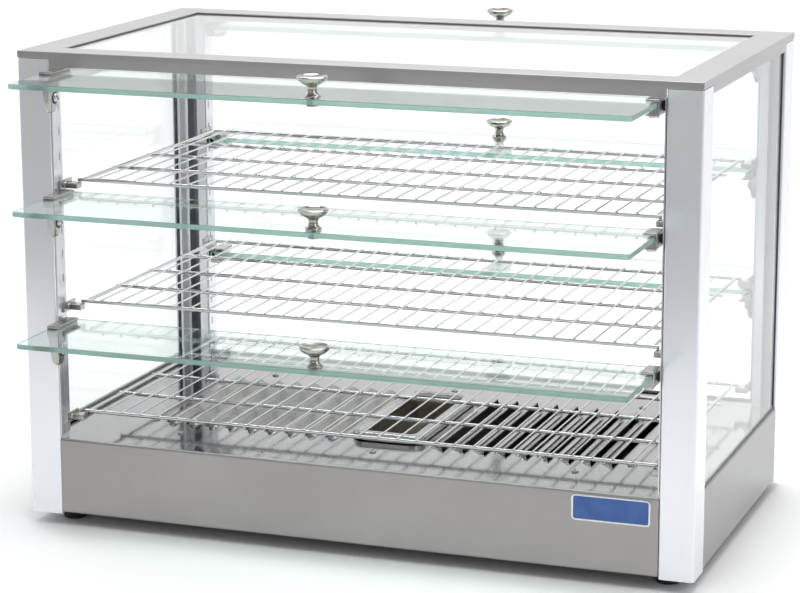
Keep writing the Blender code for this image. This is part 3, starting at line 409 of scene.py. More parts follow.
def addPrism(shape, outline, low, high, edge, axis="Z", materialIndex=0, matrix=None, segments=2):
    # an outline in the plane across the axis, pushed from low to high, with its end edges eased
    before = set(shape.faces)
    order = {"Z": (0, 1, 2), "X": (2, 0, 1), "Y": (0, 2, 1)}[axis]     # x, y and z out of u, v and w
    rings = []
    for w in (low, high):
        rings.append([shape.verts.new([(u, v, w)[place] for place in order]) for u, v in outline])
    count = len(outline)
    for index in range(count):
        after = (index + 1) % count
        shape.faces.new((rings[0][index], rings[0][after], rings[1][after], rings[1][index]))
    caps = [shape.faces.new(rings[0]), shape.faces.new(rings[1])]
    if edge:
        lines = list({line for cap in caps for line in cap.edges})
        bmesh.ops.bevel(shape, geom=lines, offset=edge, segments=segments, profile=0.5, affect="EDGES")
    return finishFaces(shape, before, matrix, materialIndex)


def foldedSheet(path, thickness, bend, steps=5):
    # the outline of a sheet that follows a path of points, with rounded bends
    def offsetPath(radiusShift):
        points = []
        for index, point in enumerate(path):
            here = Vector(point)
            if index in (0, len(path) - 1):
                other = Vector(path[1] if index == 0 else path[-2])
                along = (other - here).normalized() * (1 if index == 0 else -1)
                points.append(here + Vector((-along.y, along.x)) * radiusShift)
                continue
            into = (here - Vector(path[index - 1])).normalized()
            out = (Vector(path[index + 1]) - here).normalized()
            turn = 1 if into.x * out.y - into.y * out.x > 0 else -1
            middle = here - into * bend + Vector((-into.y, into.x)) * bend * turn
            radius = bend - radiusShift * turn
            begin = -Vector((-into.y, into.x)) * turn
            for step in range(steps + 1):
                angle = turn * pi / 2 * step / steps
                arm = Vector((begin.x * cos(angle) - begin.y * sin(angle),
                              begin.x * sin(angle) + begin.y * cos(angle)))
                points.append(middle + arm * radius)
        return [(p.x, p.y) for p in points]
    return offsetPath(thickness / 2) + offsetPath(-thickness / 2)[::-1]


def addGrid(shape, across, along, height, thickness, isHole, materialIndex=0, matrix=None):
    # a flat plate of cells with the holes left out, its top at height
    before = set(shape.faces)
    grid = {}

    def corner(i, j, level):
        if (i, j, level) not in grid:
            grid[i, j, level] = shape.verts.new((across[i], along[j], height - level * thickness))
        return grid[i, j, level]

    def solid(i, j):
        inside = 0 <= i < len(across) - 1 and 0 <= j < len(along) - 1
        return inside and not isHole((across[i] + across[i + 1]) / 2, (along[j] + along[j + 1]) / 2)

    for i in range(len(across) - 1):
        for j in range(len(along) - 1):
            if not solid(i, j):
                continue
            square = ((i, j), (i + 1, j), (i + 1, j + 1), (i, j + 1))
            shape.faces.new([corner(*place, 0) for place in square])
            shape.faces.new([corner(*place, 1) for place in square[::-1]])
            sides = (((i, j - 1), (i, j), (i + 1, j)), ((i + 1, j), (i + 1, j), (i + 1, j + 1)),
                     ((i, j + 1), (i + 1, j + 1), (i, j + 1)), ((i - 1, j), (i, j + 1), (i, j)))
            for beyond, a, b in sides:
                if not solid(*beyond):
                    shape.faces.new([corner(*a, 0), corner(*a, 1), corner(*b, 1), corner(*b, 0)])
    return finishFaces(shape, before, matrix, materialIndex)


def driveRing(kind, radius, height, sides):
    # the mouth of a screw's recess: a slot or a cross, met along rays from the middle
    longer, shorter = {"slot": (0.82, 0.13), "cross": (0.62, 0.15)}[kind]
    points = []
    for k in range(sides):
        angle = 2 * pi * k / sides
        c, s = abs(cos(angle)) + 1e-6, abs(sin(angle)) + 1e-6
        reach = min(longer / c, shorter / s)
        if kind == "cross":
            reach = max(reach, min(shorter / c, longer / s))
        points.append((radius * reach * cos(angle), radius * reach * sin(angle), height))
    return points


def addScrew(shape, place, normal, radius, height, kind="cross", materialIndex=0, sides=32, spin=0.0):
    # a domed head with a real recess
    turn = Matrix.Translation(Vector(place)) @ towards(normal) @ Matrix.Rotation(spin, 4, "Z")
    depth = height * 0.5
    rings = [circle(radius, -height * 0.1, sides), circle(radius, height * 0.35, sides),
             circle(radius * 0.95, height * 0.7, sides), circle(radius * 0.86, height * 0.93, sides),
             driveRing(kind, radius, height, sides), driveRing(kind, radius * 0.97, height - depth, sides)]
    addLoft(shape, rings, True, True, materialIndex, turn)


def rounded(points, radius, steps=4):
    # a polygon with its corners turned into arcs; radius is one value, or one for each corner
    radii = radius if isinstance(radius, (list, tuple)) else [radius] * len(points)
    made = []
    for index, point in enumerate(points):
        here = Vector(point)
        into = (Vector(points[index - 1]) - here).normalized()
        out = (Vector(points[(index + 1) % len(points)]) - here).normalized()
        if radii[index] == 0:
            made.append((here.x, here.y))
            continue
        half = into.angle(out) / 2
        middle = here + (into + out).normalized() * radii[index] / sin(half)
        reach = radii[index] * cos(half) / sin(half)
        first, last = here + into * reach - middle, here + out * reach - middle
        sweep = pi - 2 * half
        for step in range(steps + 1):
            share = step / steps
            arm = (first * sin((1 - share) * sweep) + last * sin(share * sweep)) / sin(sweep)
            made.append((middle.x + arm.x, middle.y + arm.y))
    return made


# frame and panels

def buildPosts():
    post = {"radius": 0.0025, "edge": 0.0005, "clearance": 0.0003, "groove": 0.008, "box": 0.0205,
            "leg": 0.012, "channel": (0.0140, 0.0250), "channelFloor": 0.0055, "innerRadius": 0.0008,
            "legRadius": 0.0006, "small": 0.0004}
    lip = {"width": 0.0007, "reach": 0.0014, "bite": 0.001, "edge": 0.0002}
    width, depth = halfWidth - postInner, halfDepth - postBack
    paneLow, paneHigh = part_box("right_side_glass")
    outer = halfWidth - paneHigh.x - post["clearance"]
    inner = halfWidth - paneLow.x + post["clearance"]
    near, far = post["channel"]
    box, leg, floor, groove = post["box"], post["leg"], post["channelFloor"], depth - post["groove"]
    # measured from the outer corner: the front, the hollow side's channel, the leg and the glass groove
    points = [(0, 0), (width, 0), (width, box), (far, box), (far, floor), (near, floor), (near, box),
              (leg, box), (leg, depth), (inner, depth), (inner, groove), (outer, groove), (outer, depth),
              (0, depth)]
    small = [post["small"]] * 4
    radii = [post["radius"]] * 2 + [post["innerRadius"]] + small + [post["innerRadius"], post["legRadius"]]
    radii += small + [post["radius"] * 0.6]
    outline = rounded(points, radii, 5)

    # faces on the channel floor take the darker second material, as painted shade in the recess
    def inShadedRecess(spot, normal):
        u, v = halfWidth - abs(spot.x), halfDepth - abs(spot.y)
        level = abs(normal.z) < 0.5 and floor - 0.0008 < v < box - 0.0005
        return level and near - 0.0005 < u < far + 0.0005

    for name, (side, face) in cornerSigns.items():
        shape = bmesh.new()
        placed = [(side * (halfWidth - u), face * (halfDepth - v)) for u, v in outline]
        addPrism(shape, placed, baseZ, postTop, post["edge"])
        paintFaces(shape, inShadedRecess)
        newPiece("cornerPost_" + name, shape, ["postSilver", "postRecessPaintedShade"], "case",
                 ["post_" + name])
        shape = bmesh.new()
        for edgeX, reach in ((paneHigh.x, lip["width"]), (paneLow.x, -lip["width"])):
            xs = sorted((side * edgeX, side * (edgeX + reach)))
            ys = sorted((face * (postBack + lip["bite"]), face * (postBack - lip["reach"])))
            addBlock(shape, (xs[0], ys[0], sidePanelTop), (xs[1], ys[1], postTop - 0.001), lip["edge"])
        newPiece("postSeal_" + name, shape, ["blackRubber"], "case")
    print("posts")


def buildTopFrame():
    ring = {"gap": 0.0003, "radius": 0.0007, "ledge": 0.006, "ledgeLow": 0.0005, "ledgeHigh": 0.002,
            "ledgeRadius": 0.0003}
    skirt = {"thickness": 0.0015, "edge": 0.0004, "gap": 0.0003}
    bead = {"width": 0.0016, "height": 0.0007, "bite": 0.0002}
    glassLow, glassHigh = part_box("top_glass")
    inner = (glassHigh.x + ring["gap"], glassHigh.y + ring["gap"])
    under = postTop + ring["gap"]
    halves = (halfWidth, halfDepth)
    for name, along, sign in (("front", 0, -1), ("rear", 0, 1), ("left", 1, -1), ("right", 1, 1)):
        across = 1 - along
        slope = (halves[along] - inner[along]) / (halves[across] - inner[across])
        rim, hole = halves[across], inner[across]
        ledge, low, high = hole - ring["ledge"], under + ring["ledgeLow"], under + ring["ledgeHigh"]
        radii = [ring["radius"]] * 2 + [ring["ledgeRadius"]] * 3 + [ring["radius"]]
        corners = [(rim, topZ), (rim, under), (ledge, low), (ledge, high), (hole, high), (hole, topZ)]
        section = rounded(corners, radii)
        rings = []
        for end in (-1, 1):
            points = []
            for out, height in section:
                length = end * (halves[along] - (halves[across] - out) * slope)
                points.append((length, sign * out, height) if along == 0 else (sign * out, length, height))
            rings.append(points)
        shape = bmesh.new()
        addLoft(shape, rings, True, True)
        edges = sorted((sign * halves[across], sign * (halves[across] - skirt["thickness"])))
        reach = (postInner, postBack)[along] - skirt["gap"]
        lows, highs = [0, 0, frameLow.z], [0, 0, under + 0.001]
        lows[along], highs[along] = -reach, reach
        lows[across], highs[across] = edges
        addBlock(shape, lows, highs, skirt["edge"])
        stands = ["top_frame"] if name == "front" else []
        material = ("frameSteelX", "frameSteelY")[along]
        newPiece("topFrame_" + name, shape, [material], "case", stands)
    shape = bmesh.new()
    addBlock(shape, glassLow, glassHigh, 0.0004)
    newPiece("topPane", shape, ["paneGlass"], "case", ["top_glass"])
    shape = bmesh.new()
    loops = []
    for inset, lift in ((0, -bead["bite"]), (0, bead["height"]), (bead["width"] * 0.5, bead["height"] * 0.8),
                        (bead["width"], 0.00005), (bead["width"], -bead["bite"])):
        loops.append(roundedLoop(inner[0] - inset, inner[1] - inset, 0.002, glassHigh.z + lift, 3))
    addLoft(shape, loops + loops[:1], False, False)
    bmesh.ops.remove_doubles(shape, verts=shape.verts, dist=0.00001)
    newPiece("topSeal", shape, ["blackRubber"], "case")
    print("top frame")


def buildSideGlass():
    channel = {"thickness": 0.0006, "low": 0.0002, "rise": 0.0004, "edge": 0.0002}
    for name in ("left", "right"):
        low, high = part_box(name + "_side_glass")
        shape = bmesh.new()
        addBlock(shape, low, high, 0.0005)
        paintFaces(shape, lambda spot, normal: abs(normal.x) <= 0.8)
        newPiece("sidePane_" + name, shape, ["paneGlass", "greenEdge"], "case",
                 [name + "_side_glass"])
        shape = bmesh.new()
        reach = postBack - 0.0005
        bottom, top = sidePanelTop + channel["low"], low.z + channel["rise"]
        for xLow, xHigh in ((low.x - channel["thickness"], low.x), (high.x, high.x + channel["thickness"])):
            addBlock(shape, (xLow, -reach, bottom), (xHigh, reach, top), channel["edge"])
        newPiece("glassSeal_" + name, shape, ["greySeal"], "case")
    print("side glass")


def buildBasePanels():
    panel = {"sheet": 0.0012, "bend": 0.0016, "flange": 0.020, "endEdge": 0.0002}
    # which way each panel faces, the axis it runs along and how far its top folds back
    faces = {"front": (-1, "X", 0.0032), "rear": (1, "X", 0.0032),
             "left": (-1, "Y", 0.0098), "right": (1, "Y", 0.0098)}
    half = panel["sheet"] / 2
    for name, (side, axis, topReturn) in faces.items():
        low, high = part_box(name + "_base_panel")
        along = "XY".index(axis)
        across = 1 - along
        wall = max(abs(low[across]), abs(high[across])) - half
        path = [(wall - panel["flange"], low.z + half), (wall, low.z + half), (wall, high.z - half),
                (wall - topReturn, high.z - half)]
        outline = [(side * out, z) for out, z in foldedSheet(path, panel["sheet"], panel["bend"])]
        shape = bmesh.new()
        addPrism(shape, outline, low[along], high[along], panel["endEdge"], axis, segments=1)
        newPiece("basePanel_" + name, shape, ["panelSteel" + axis], "case",
                 [name + "_base_panel"])
    keepNode("bottom_plate", "panelSteelX")
    print("base panels")


def buildDeck():
    louvre = {"count": 9, "pitch": 0.0223, "middle": 0.145, "length": 0.190, "width": 0.012, "sheet": 0.0009,
              "mouth": 0.0042, "root": 0.001, "endRun": 0.006, "alongSteps": 10, "acrossSteps": 8}
    plate = {"postBox": 0.0205, "gap": 0.0003, "rimOverlap": 0.0105}
    screws = {"places": [(0.0, 0.128), (0.212, 0.128), (0.258, 0.088)], "radius": 0.0036, "height": 0.0019}
    low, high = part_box("deck_plate")
    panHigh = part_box("water_pan")[1]
    rise = high.z - deckTop
    sheet = deckTop - low.z
    starts = []
    for side in (-1, 1):
        first = side * louvre["middle"] - louvre["pitch"] * (louvre["count"] - 1) / 2
        starts += [(first + k * louvre["pitch"], side) for k in range(louvre["count"])]
    slots = []
    halfLouvre = louvre["width"] / 2
    for x, side in starts:
        inside, outside = halfLouvre - louvre["root"], halfLouvre + louvre["mouth"]
        slots.append(sorted((x - side * inside, x + side * outside)))
    slotY = louvre["length"] / 2 - louvre["root"]
    hole = (panHigh.x - plate["rimOverlap"], panHigh.y - plate["rimOverlap"])
    notch = (postInner - plate["gap"], halfDepth - plate["postBox"] - plate["gap"])
    xs = {-high.x, high.x, -notch[0], notch[0], -hole[0], hole[0]}
    xs = sorted(xs | {x for pair in slots for x in pair})
    ys = [-high.y, -notch[1], -slotY, -hole[1], hole[1], slotY, notch[1], high.y]

    def isHole(x, y):
        if abs(x) > notch[0] and abs(y) > notch[1]:
            return True
        if abs(x) < hole[0] and abs(y) < hole[1]:
            return True
        return abs(y) < slotY and any(a < x < b for a, b in slots)

    shape = bmesh.new()
    addGrid(shape, xs, ys, deckTop, sheet, isHole)
    for x, side in starts:
        rings = []
        for step in range(louvre["alongSteps"] + 1):
            # ring by ring along the louvre; its height rises from nothing over each end
            share = step / louvre["alongSteps"]
            near = min(share, 1 - share) * 2
            y = (share - 0.5) * louvre["length"]
            if share in (0.0, 1.0):
                lift = 0.0
            else:
                y = (-1 if share < 0.5 else 1) * (louvre["length"] / 2 - louvre["endRun"] * near)
                lift = sin(pi / 2 * min(1.0, near * 1.15))
            upper, under = [], []
            for k in range(louvre["acrossSteps"] + 1):
                across = k / louvre["acrossSteps"]
                place = x + side * (across - 0.5) * louvre["width"]
                height = deckTop + (rise - 0.0001) * lift * sin(across * pi / 2) ** 1.25
                upper.append((place, y, height))
                under.append((place, y, height - louvre["sheet"]))
            rings.append(upper + under[::-1])
        addLoft(shape, rings, True, True, 1)
    newPiece("louvredDeck", shape, ["deckSteel", "louvreSteel"], "case", ["deck_plate"], 30)
    shape = bmesh.new()
    spin = 0.35
    for x, y in screws["places"]:
        for place in {(signX * x, signY * y) for signX in (-1, 1) for signY in (-1, 1)}:
            spin += 0.9
            addScrew(shape, (*place, deckTop), (0, 0, 1), screws["radius"], screws["height"], spin=spin)
    newPiece("deckScrews", shape, ["screwSteel"], "case")
    print("deck")


def buildPan():
    pan = {"sheet": 0.0009, "outerCorner": 0.016, "rim": 0.013}
    low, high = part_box("water_pan")
    rimLow = deckTop + 0.0003
    # inset from the rim's outer edge and height: up the rim, over it and down into the pan
    profile = [(0.0008, rimLow), (0.0, rimLow + 0.0010), (0.0, high.z - 0.0042), (0.0006, high.z - 0.0022),
               (0.0020, high.z - 0.0007), (0.0042, high.z), (pan["rim"] - 0.0042, high.z - 0.0002),
               (pan["rim"] - 0.0018, high.z - 0.0010), (pan["rim"] - 0.0005, high.z - 0.0026),
               (pan["rim"], high.z - 0.0050), (pan["rim"] + 0.0008, low.z + 0.0062),
               (pan["rim"] + 0.0022, low.z + 0.0030), (pan["rim"] + 0.0052, low.z + 0.0014),
               (pan["rim"] + 0.0100, low.z + 0.0010)]
    rings = []
    for inset, height in profile:
        corner = max(0.004, pan["outerCorner"] - inset * 0.85)
        rings.append(roundedLoop(high.x - inset, high.y - inset, corner, height, 7))
    shape = bmesh.new()
    addLoft(shape, rings, False, True)
    inside = pan["rim"] - 0.0008
    # faces below the rim and inside it take the darker brown: stain plus painted shade
    paintFaces(shape, lambda spot, normal: spot.z < high.z - 0.0045 and abs(spot.x) < high.x - inside
               and abs(spot.y) < high.y - inside)
    piece = newPiece("waterPan", shape, ["panSteel", "panInsideStainAndShade"], "pan", ["water_pan"])
    wall = piece.modifiers.new("wall", "SOLIDIFY")
    wall.thickness = pan["sheet"]
    wall.offset = -1.0
    print("pan")


# shelves and their rails

def buildRails():
    rail = {"gap": 0.0003, "thickness": 0.0012, "inset": 0.001, "width": 0.019, "floorGap": 0.004,
            "headGap": 0.0005, "slotLine": 0.014, "slotWidth": 0.0024, "slotHeight": 0.008,
            "slotPitch": 0.025}
    clip = {"arm": 0.002, "armHeight": 0.010, "armStart": 0.0105, "block": 0.006, "blockReach": 0.012,
            "blockWidth": 0.013, "edge": 0.0011, "peg": 0.0030, "pegHeight": 0.0012, "pegOut": 0.0038,
            "pegUp": 0.005}
    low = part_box("front_base_panel")[1].z + rail["floorGap"]
    high = frameLow.z - rail["headGap"]
    face = postInner - rail["gap"]
    count = int((high - low - 2 * rail["slotHeight"]) / rail["slotPitch"]) + 1
    heights = [low, high]
    for k in range(count):
        start = low + rail["slotHeight"] + k * rail["slotPitch"]
        heights += [start, start + rail["slotHeight"]]
    heights.sort()
    upright = Matrix(((0, 0, 1, 0), (1, 0, 0, 0), (0, 1, 0, 0), (0, 0, 0, 1)))
    for name, (side, end) in cornerSigns.items():
        slotY = end * (halfDepth - rail["slotLine"])
        edges = [end * (halfDepth - rail["inset"]), end * (halfDepth - rail["inset"] - rail["width"]),
                 slotY - rail["slotWidth"] / 2, slotY + rail["slotWidth"] / 2]

        def isSlot(y, z):
            along = (z - low - rail["slotHeight"]) % rail["slotPitch"]
            inside = low + rail["slotHeight"] < z < heights[-2]
            return abs(y - slotY) < rail["slotWidth"] / 2 and inside and along < rail["slotHeight"]

        shape = bmesh.new()
        top = face if side > 0 else rail["thickness"] - face
        addGrid(shape, sorted(edges), heights, top, rail["thickness"], isSlot, 0, upright)
        inner = face - rail["thickness"]
        for level in levels:
            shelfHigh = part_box("shelf_" + level)[1]
            rest = shelfHigh.z - 0.0036 - 0.002 - rail["gap"]
            blockEnd = shelfHigh.y - clip["blockReach"] / 2
            xs = sorted((side * (inner + rail["thickness"] / 2), side * (inner - clip["arm"])))
            ys = sorted((end * (halfDepth - clip["armStart"]), end * blockEnd))
            floor = rest - clip["block"]
            ceiling = floor + clip["armHeight"]
            addBlock(shape, (xs[0], ys[0], floor), (xs[1], ys[1], ceiling), clip["edge"] * 0.6, 1)
            xs = sorted((side * (inner - clip["arm"] / 2), side * (inner - clip["blockWidth"])))
            ys = sorted((end * (blockEnd + clip["blockReach"]), end * blockEnd))
            addBlock(shape, (xs[0], ys[0], floor), (xs[1], ys[1], rest), clip["edge"], 1, None, 3)
            pegY = end * (blockEnd + clip["blockReach"] + clip["pegOut"])
            middle = (side * (inner - clip["arm"]), pegY, floor + clip["pegUp"])
            addScrew(shape, middle, (-side, 0, 0), clip["peg"], clip["pegHeight"], "slot", 2, 24, 0.6)
        newPiece("shelfRail_" + name, shape, ["railSteel", "castNickel", "screwSteel"], "case",
                 ["shelf_rail_" + name])
    print("rails")


def buildShelves():
    wire = {"thick": 0.002, "fine": 0.0009, "fineLift": 0.0025, "sideX": 0.298, "count": 29, "pitch": 0.020,
            "drop": 0.0009, "overhang": 0.002, "sides": 14, "down": 0.0036}
    weldProfile = [(0.0008, -0.0004), (0.0016, 0.0), (0.0013, 0.0006), (0.0005, 0.0010)]
    for level in levels:
        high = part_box("shelf_" + level)[1]
        middle = high.z - wire["down"]      # the thick wires lie this far under the shelf's top
        frameY = high.y - wire["overhang"] - wire["thick"]
        shape = bmesh.new()
        for k in range(5):
            y = -frameY + k * frameY / 2
            z = middle if k in (0, 4) else middle - wire["drop"]
            addRod(shape, (-high.x, y, z), (high.x, y, z), wire["thick"], wire["sides"])
        for side in (-1, 1):
            addRod(shape, (side * wire["sideX"], -frameY, middle), (side * wire["sideX"], frameY, middle),
                   wire["thick"] - 0.0001, wire["sides"])
        for k in range(wire["count"]):
            x = (k - (wire["count"] - 1) / 2) * wire["pitch"]
            z = middle + wire["fineLift"]
            addRod(shape, (x, -high.y, z), (x, high.y, z), wire["fine"], 10, 0, 0.8)
            for y in (-frameY, frameY):
                # the small spread of metal where a fine wire is welded down
                weld = Matrix.Translation((x, y, middle + wire["thick"] - 0.0004))
                weld = weld @ Matrix.Diagonal((1.25, 1.0, 1.0, 1.0))
                addTurned(shape, weldProfile, 8, 0, weld)
        newPiece("wireShelf_" + level, shape, ["shelfChrome"], "wire_shelf_" + level,
                 ["shelf_" + level], 50)
    print("shelves")


# doors, each made about its pivot line as seen from its own side

def addPane(shape, half, reach, size, holePlace, holeRadius):
    tail, corner, ease = size["tail"], size["corner"], size["ease"]
    points = rounded([(-half, -reach), (half, -reach), (half, tail), (-half, tail)], corner, 5)
    small = rounded([(ease - half, ease - reach), (half - ease, ease - reach), (half - ease, tail - ease),
                     (ease - half, tail - ease)], corner - ease, 5)
    hole = []
    for x, y in small:
        arm = (Vector((x, y)) - Vector(holePlace)).normalized() * holeRadius
        hole.append((holePlace[0] + arm.x, holePlace[1] + arm.y))
    low, high = size["offset"] - size["glass"] / 2, size["offset"] + size["glass"] / 2
    rings = [[(x, y, high) for x, y in hole], [(x, y, high) for x, y in small],
             [(x, y, high - ease) for x, y in points], [(x, y, low + ease) for x, y in points],
             [(x, y, low) for x, y in small], [(x, y, low) for x, y in hole]]
    addLoft(shape, rings + rings[:1], False, False)
    bmesh.ops.remove_doubles(shape, verts=shape.verts, dist=0.00001)
    paintFaces(shape, lambda spot, normal: abs(normal.z) <= 0.95
               and not (abs(spot.x) < 0.02 and abs(spot.y - holePlace[1]) < 0.004))


def addClamp(shape, side, reach, size):
    # side is where the post is: -1 left, 1 right
    glassLow = size["offset"] - size["glass"] / 2 - size["gap"]
    glassHigh = size["offset"] + size["glass"] / 2 + size["gap"]
    inner = size["face"] - size["width"]
    slot = size["face"] - size["web"]
    under = -size["drop"]
    outline = [(size["face"], under), (size["face"], glassHigh), (slot, glassHigh), (slot, glassLow),
               (inner + size["step"], glassLow), (inner + size["step"], under + size["lip"]),
               (inner, under + size["lip"]), (inner, under)]
    radii = [0.0012, 0.0004, 0.0002, 0.0002, 0.0008, 0.0006, 0.0006, 0.0006]
    points = [(side * u, v) for u, v in rounded(outline, radii, 4)]
    addPrism(shape, points, -reach, size["tail"], 0.0005, "Y")
    xs = sorted((side * inner, side * size["face"]))
    jawLow, jawHigh = glassHigh - 0.0002, glassHigh + size["jaw"]
    addBlock(shape, (xs[0], -reach, jawLow), (xs[1], size["jawTail"], jawHigh), size["jawEdge"], 0, None, 3)
    washer = Matrix.Translation((side * size["face"], 0, 0)) @ towards((side, 0, 0))
    bush = size["bush"]
    addTurned(shape, [(bush * 0.5, -0.0002), (bush, -0.0002), (bush, 0.0007), (bush * 0.86, 0.0008),
                      (bush * 0.84, 0.0018), (bush * 0.5, 0.0020)], 28, 1, washer)
    return under, inner


def addTongue(shape, size, under):
    # a tapered tongue with a round end, and a screw with a rubber washer in its side
    tongue = {"inset": 0.0005, "start": 0.0004, "width": 0.011, "run": 0.021, "length": 0.026, "taperX": 0.15,
              "taperY": 0.30, "screwRun": 0.0115, "screwDown": 0.0110, "screwRadius": 0.0050,
              "screwHeight": 0.0030}
    # share of the length, corner radius and how much is left of the width
    steps = [(-0.02, 0.0028, 1.0), (0.0, 0.0028, 1.0), (0.3, 0.0032, 1.0), (0.55, 0.0036, 1.0),
             (0.70, 0.0040, 0.985), (0.82, 0.0042, 0.93), (0.91, 0.0042, 0.83), (0.97, 0.0036, 0.68),
             (1.0, 0.0024, 0.46)]
    washer = [(0.0030, 0.0), (0.0060, 0.0), (0.0062, 0.0003), (0.0060, 0.0008), (0.0030, 0.0009)]
    outer = -size["face"] + tongue["inset"]
    start = -size["stayReach"] + tongue["start"]
    middle = (outer + tongue["width"] / 2, start + tongue["run"] / 2)
    rings = []
    for share, corner, shrink in steps:
        taper = max(0.0, share)
        halfX = tongue["width"] / 2 * (1 - tongue["taperX"] * taper) * shrink
        halfY = tongue["run"] / 2 * (1 - tongue["taperY"] * taper) * shrink
        loop = roundedLoop(halfX, halfY, min(corner, halfX * 0.9), under - share * tongue["length"], 5)
        rings.append([(middle[0] + x, middle[1] + y, z) for x, y, z in loop])
    addLoft(shape, rings, True, True)
    lean = (tongue["width"] / 2) * tongue["taperX"] * 0.45
    place = (outer + tongue["width"] - lean - 0.0003, start + tongue["screwRun"], under - tongue["screwDown"])
    aim = (1, 0, 0.05)
    addTurned(shape, washer, 32, 1, Matrix.Translation(place) @ towards(aim))
    addScrew(shape, place, aim, tongue["screwRadius"], tongue["screwHeight"], "slot", 2, 32, 0.9)


def addKnob(shape, place, top, size):
    h, r, neck, foot = size["height"], size["radius"], size["neck"], size["foot"]
    turn = Matrix.Translation((0, place, top))
    profile = [(0.0005, h - 0.0014), (0.0022, h - 0.0013), (0.0040, h - 0.0018), (0.0075, h - 0.0020),
               (0.0105, h - 0.0014), (r - 0.0026, h - 0.0004), (r - 0.0016, h), (r - 0.0006, h - 0.0004),
               (r, h - 0.0012), (r - 0.0001, h - 0.0022), (r - 0.0007, h - 0.0035), (r - 0.0019, h - 0.0050),
               (r - 0.0040, h - 0.0067),
               (r - 0.0068, h - 0.0082), (neck + 0.0010, h - 0.0096), (neck + 0.0002, h - 0.0112),
               (neck, h - 0.0130), (neck + 0.0002, 0.0048),
               (neck + 0.0012, 0.0034), (foot - 0.0014, 0.0022), (foot - 0.0004, 0.0016), (foot, 0.0009),
               (foot, 0.0002), (foot - 0.0004, 0.0)]
    addTurned(shape, profile[::-1], 48, 0, turn)
    under = -size["glass"] - 2 * size["gap"]
    addTurned(shape, [(size["screw"], under), (size["screw"], 0.0005)], 16, 1, turn)
    addTurned(shape, [(0.0030, under - 0.0012), (foot - 0.0005, under - 0.0012), (foot, under - 0.0008),
                      (foot, under - 0.0001), (foot - 0.0004, under)], 40, 1, turn)
    nut = size["nut"]
    steps = ((0.93, 0.0030), (1, 0.0026), (1, 0.0011))
    rings = [circle(nut * share, under - down, 6) for share, down in steps]
    addLoft(shape, rings, True, True, 1, turn)


def buildDoors():
    size = {"offset": 0.003, "glass": 0.005, "gap": 0.0003, "face": 0.311, "width": 0.013, "web": 0.0015,
            "step": 0.004, "drop": 0.0075, "jaw": 0.0025, "jawEdge": 0.0009, "lip": 0.0015, "tail": 0.012,
            "jawTail": 0.007, "bush": 0.005, "plainReach": 0.0203, "stayReach": 0.038, "corner": 0.004,
            "ease": 0.0005, "knobEdge": 0.015}
    knob = {"height": 0.020, "radius": 0.0147, "neck": 0.0045, "foot": 0.008, "screw": 0.002, "nut": 0.0062,
            "glass": size["glass"], "gap": size["gap"]}
    screw = {"out": 0.0065, "back": 0.0126, "radius": 0.0052, "height": 0.0026}     # under the plain clamp
    for end, turn in (("front", 0.0), ("rear", pi)):
        for level in levels:
            title = end + "_door_" + level
            pivot = Matrix.Translation(joints[title + "_hinge"]["pos_m"]) @ Matrix.Rotation(turn, 4, "Z")
            low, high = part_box(title + "_glass")
            reach = (high.y - low.y) - size["tail"]
            knobPlace = -reach + size["knobEdge"]
            label = end + level.capitalize()

            def place(shape, name, materials, slotName, nodes, angle=35):
                bmesh.ops.transform(shape, matrix=pivot, verts=shape.verts)
                newPiece(name + "_" + label, shape, materials, title, nodes, angle)

            shape = bmesh.new()
            addPane(shape, high.x, reach, size, (0.0, knobPlace), knob["screw"] + 0.0004)
            place(shape, "doorPane", ["doorGlass", "greenEdge"], "door_glass", [title + "_glass"], 30)
            shape = bmesh.new()
            addKnob(shape, knobPlace, size["offset"] + size["glass"] / 2 + size["gap"], knob)
            place(shape, "doorKnob", ["polishedNickel", "screwSteel"], "knob_nickel", [title + "_knob"], 40)
            shape = bmesh.new()
            under, inner = addClamp(shape, -1, size["stayReach"], size)
            addTongue(shape, size, under)
            place(shape, "stayClamp", ["castNickel", "blackRubber", "screwSteel"], "clamp_nickel",
                  [title + "_stay_clamp"])
            shape = bmesh.new()
            under, inner = addClamp(shape, 1, size["plainReach"], size)
            middle = (inner + screw["out"], -screw["back"], under + 0.0002)
            addScrew(shape, middle, (0, 0, -1), screw["radius"], screw["height"], "cross", 2, 36)
            place(shape, "plainClamp", ["castNickel", "blackRubber", "screwSteel"], "clamp_nickel",
                  [title + "_plain_clamp"])
    print("doors")


# feet, badge, heaters and the controls on the back

def buildFeet():
    for name in cornerSigns:
        low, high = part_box("foot_" + name)
        middle = (low + high) / 2
        r, top = (high.x - low.x) / 2, baseZ - 0.0003
        turn = Matrix.Translation((middle.x, middle.y, low.z))
        profile = [(r * 0.30, 0.0008), (r * 0.42, 0.0), (r * 0.80, 0.0), (r * 0.88, 0.0005),
                   (r * 0.93, 0.0016), (r * 0.96, 0.0040), (r * 0.985, top - 0.0036), (r, top - 0.0026),
                   (r, top - 0.0010), (r * 0.97, top - 0.0002), (r * 0.90, top)]
        shape = bmesh.new()
        addTurned(shape, profile, 40, 0, turn)
        stud = [(0.0030, top - 0.0002), (0.0039, top), (0.0039, high.z - 0.0003), (0.0036, high.z)]
        addTurned(shape, stud, 24, 1, turn)
        newPiece("rubberFoot_" + name, shape, ["blackRubber", "screwSteel"], "case",
                 ["foot_" + name], 40)
    print("feet")


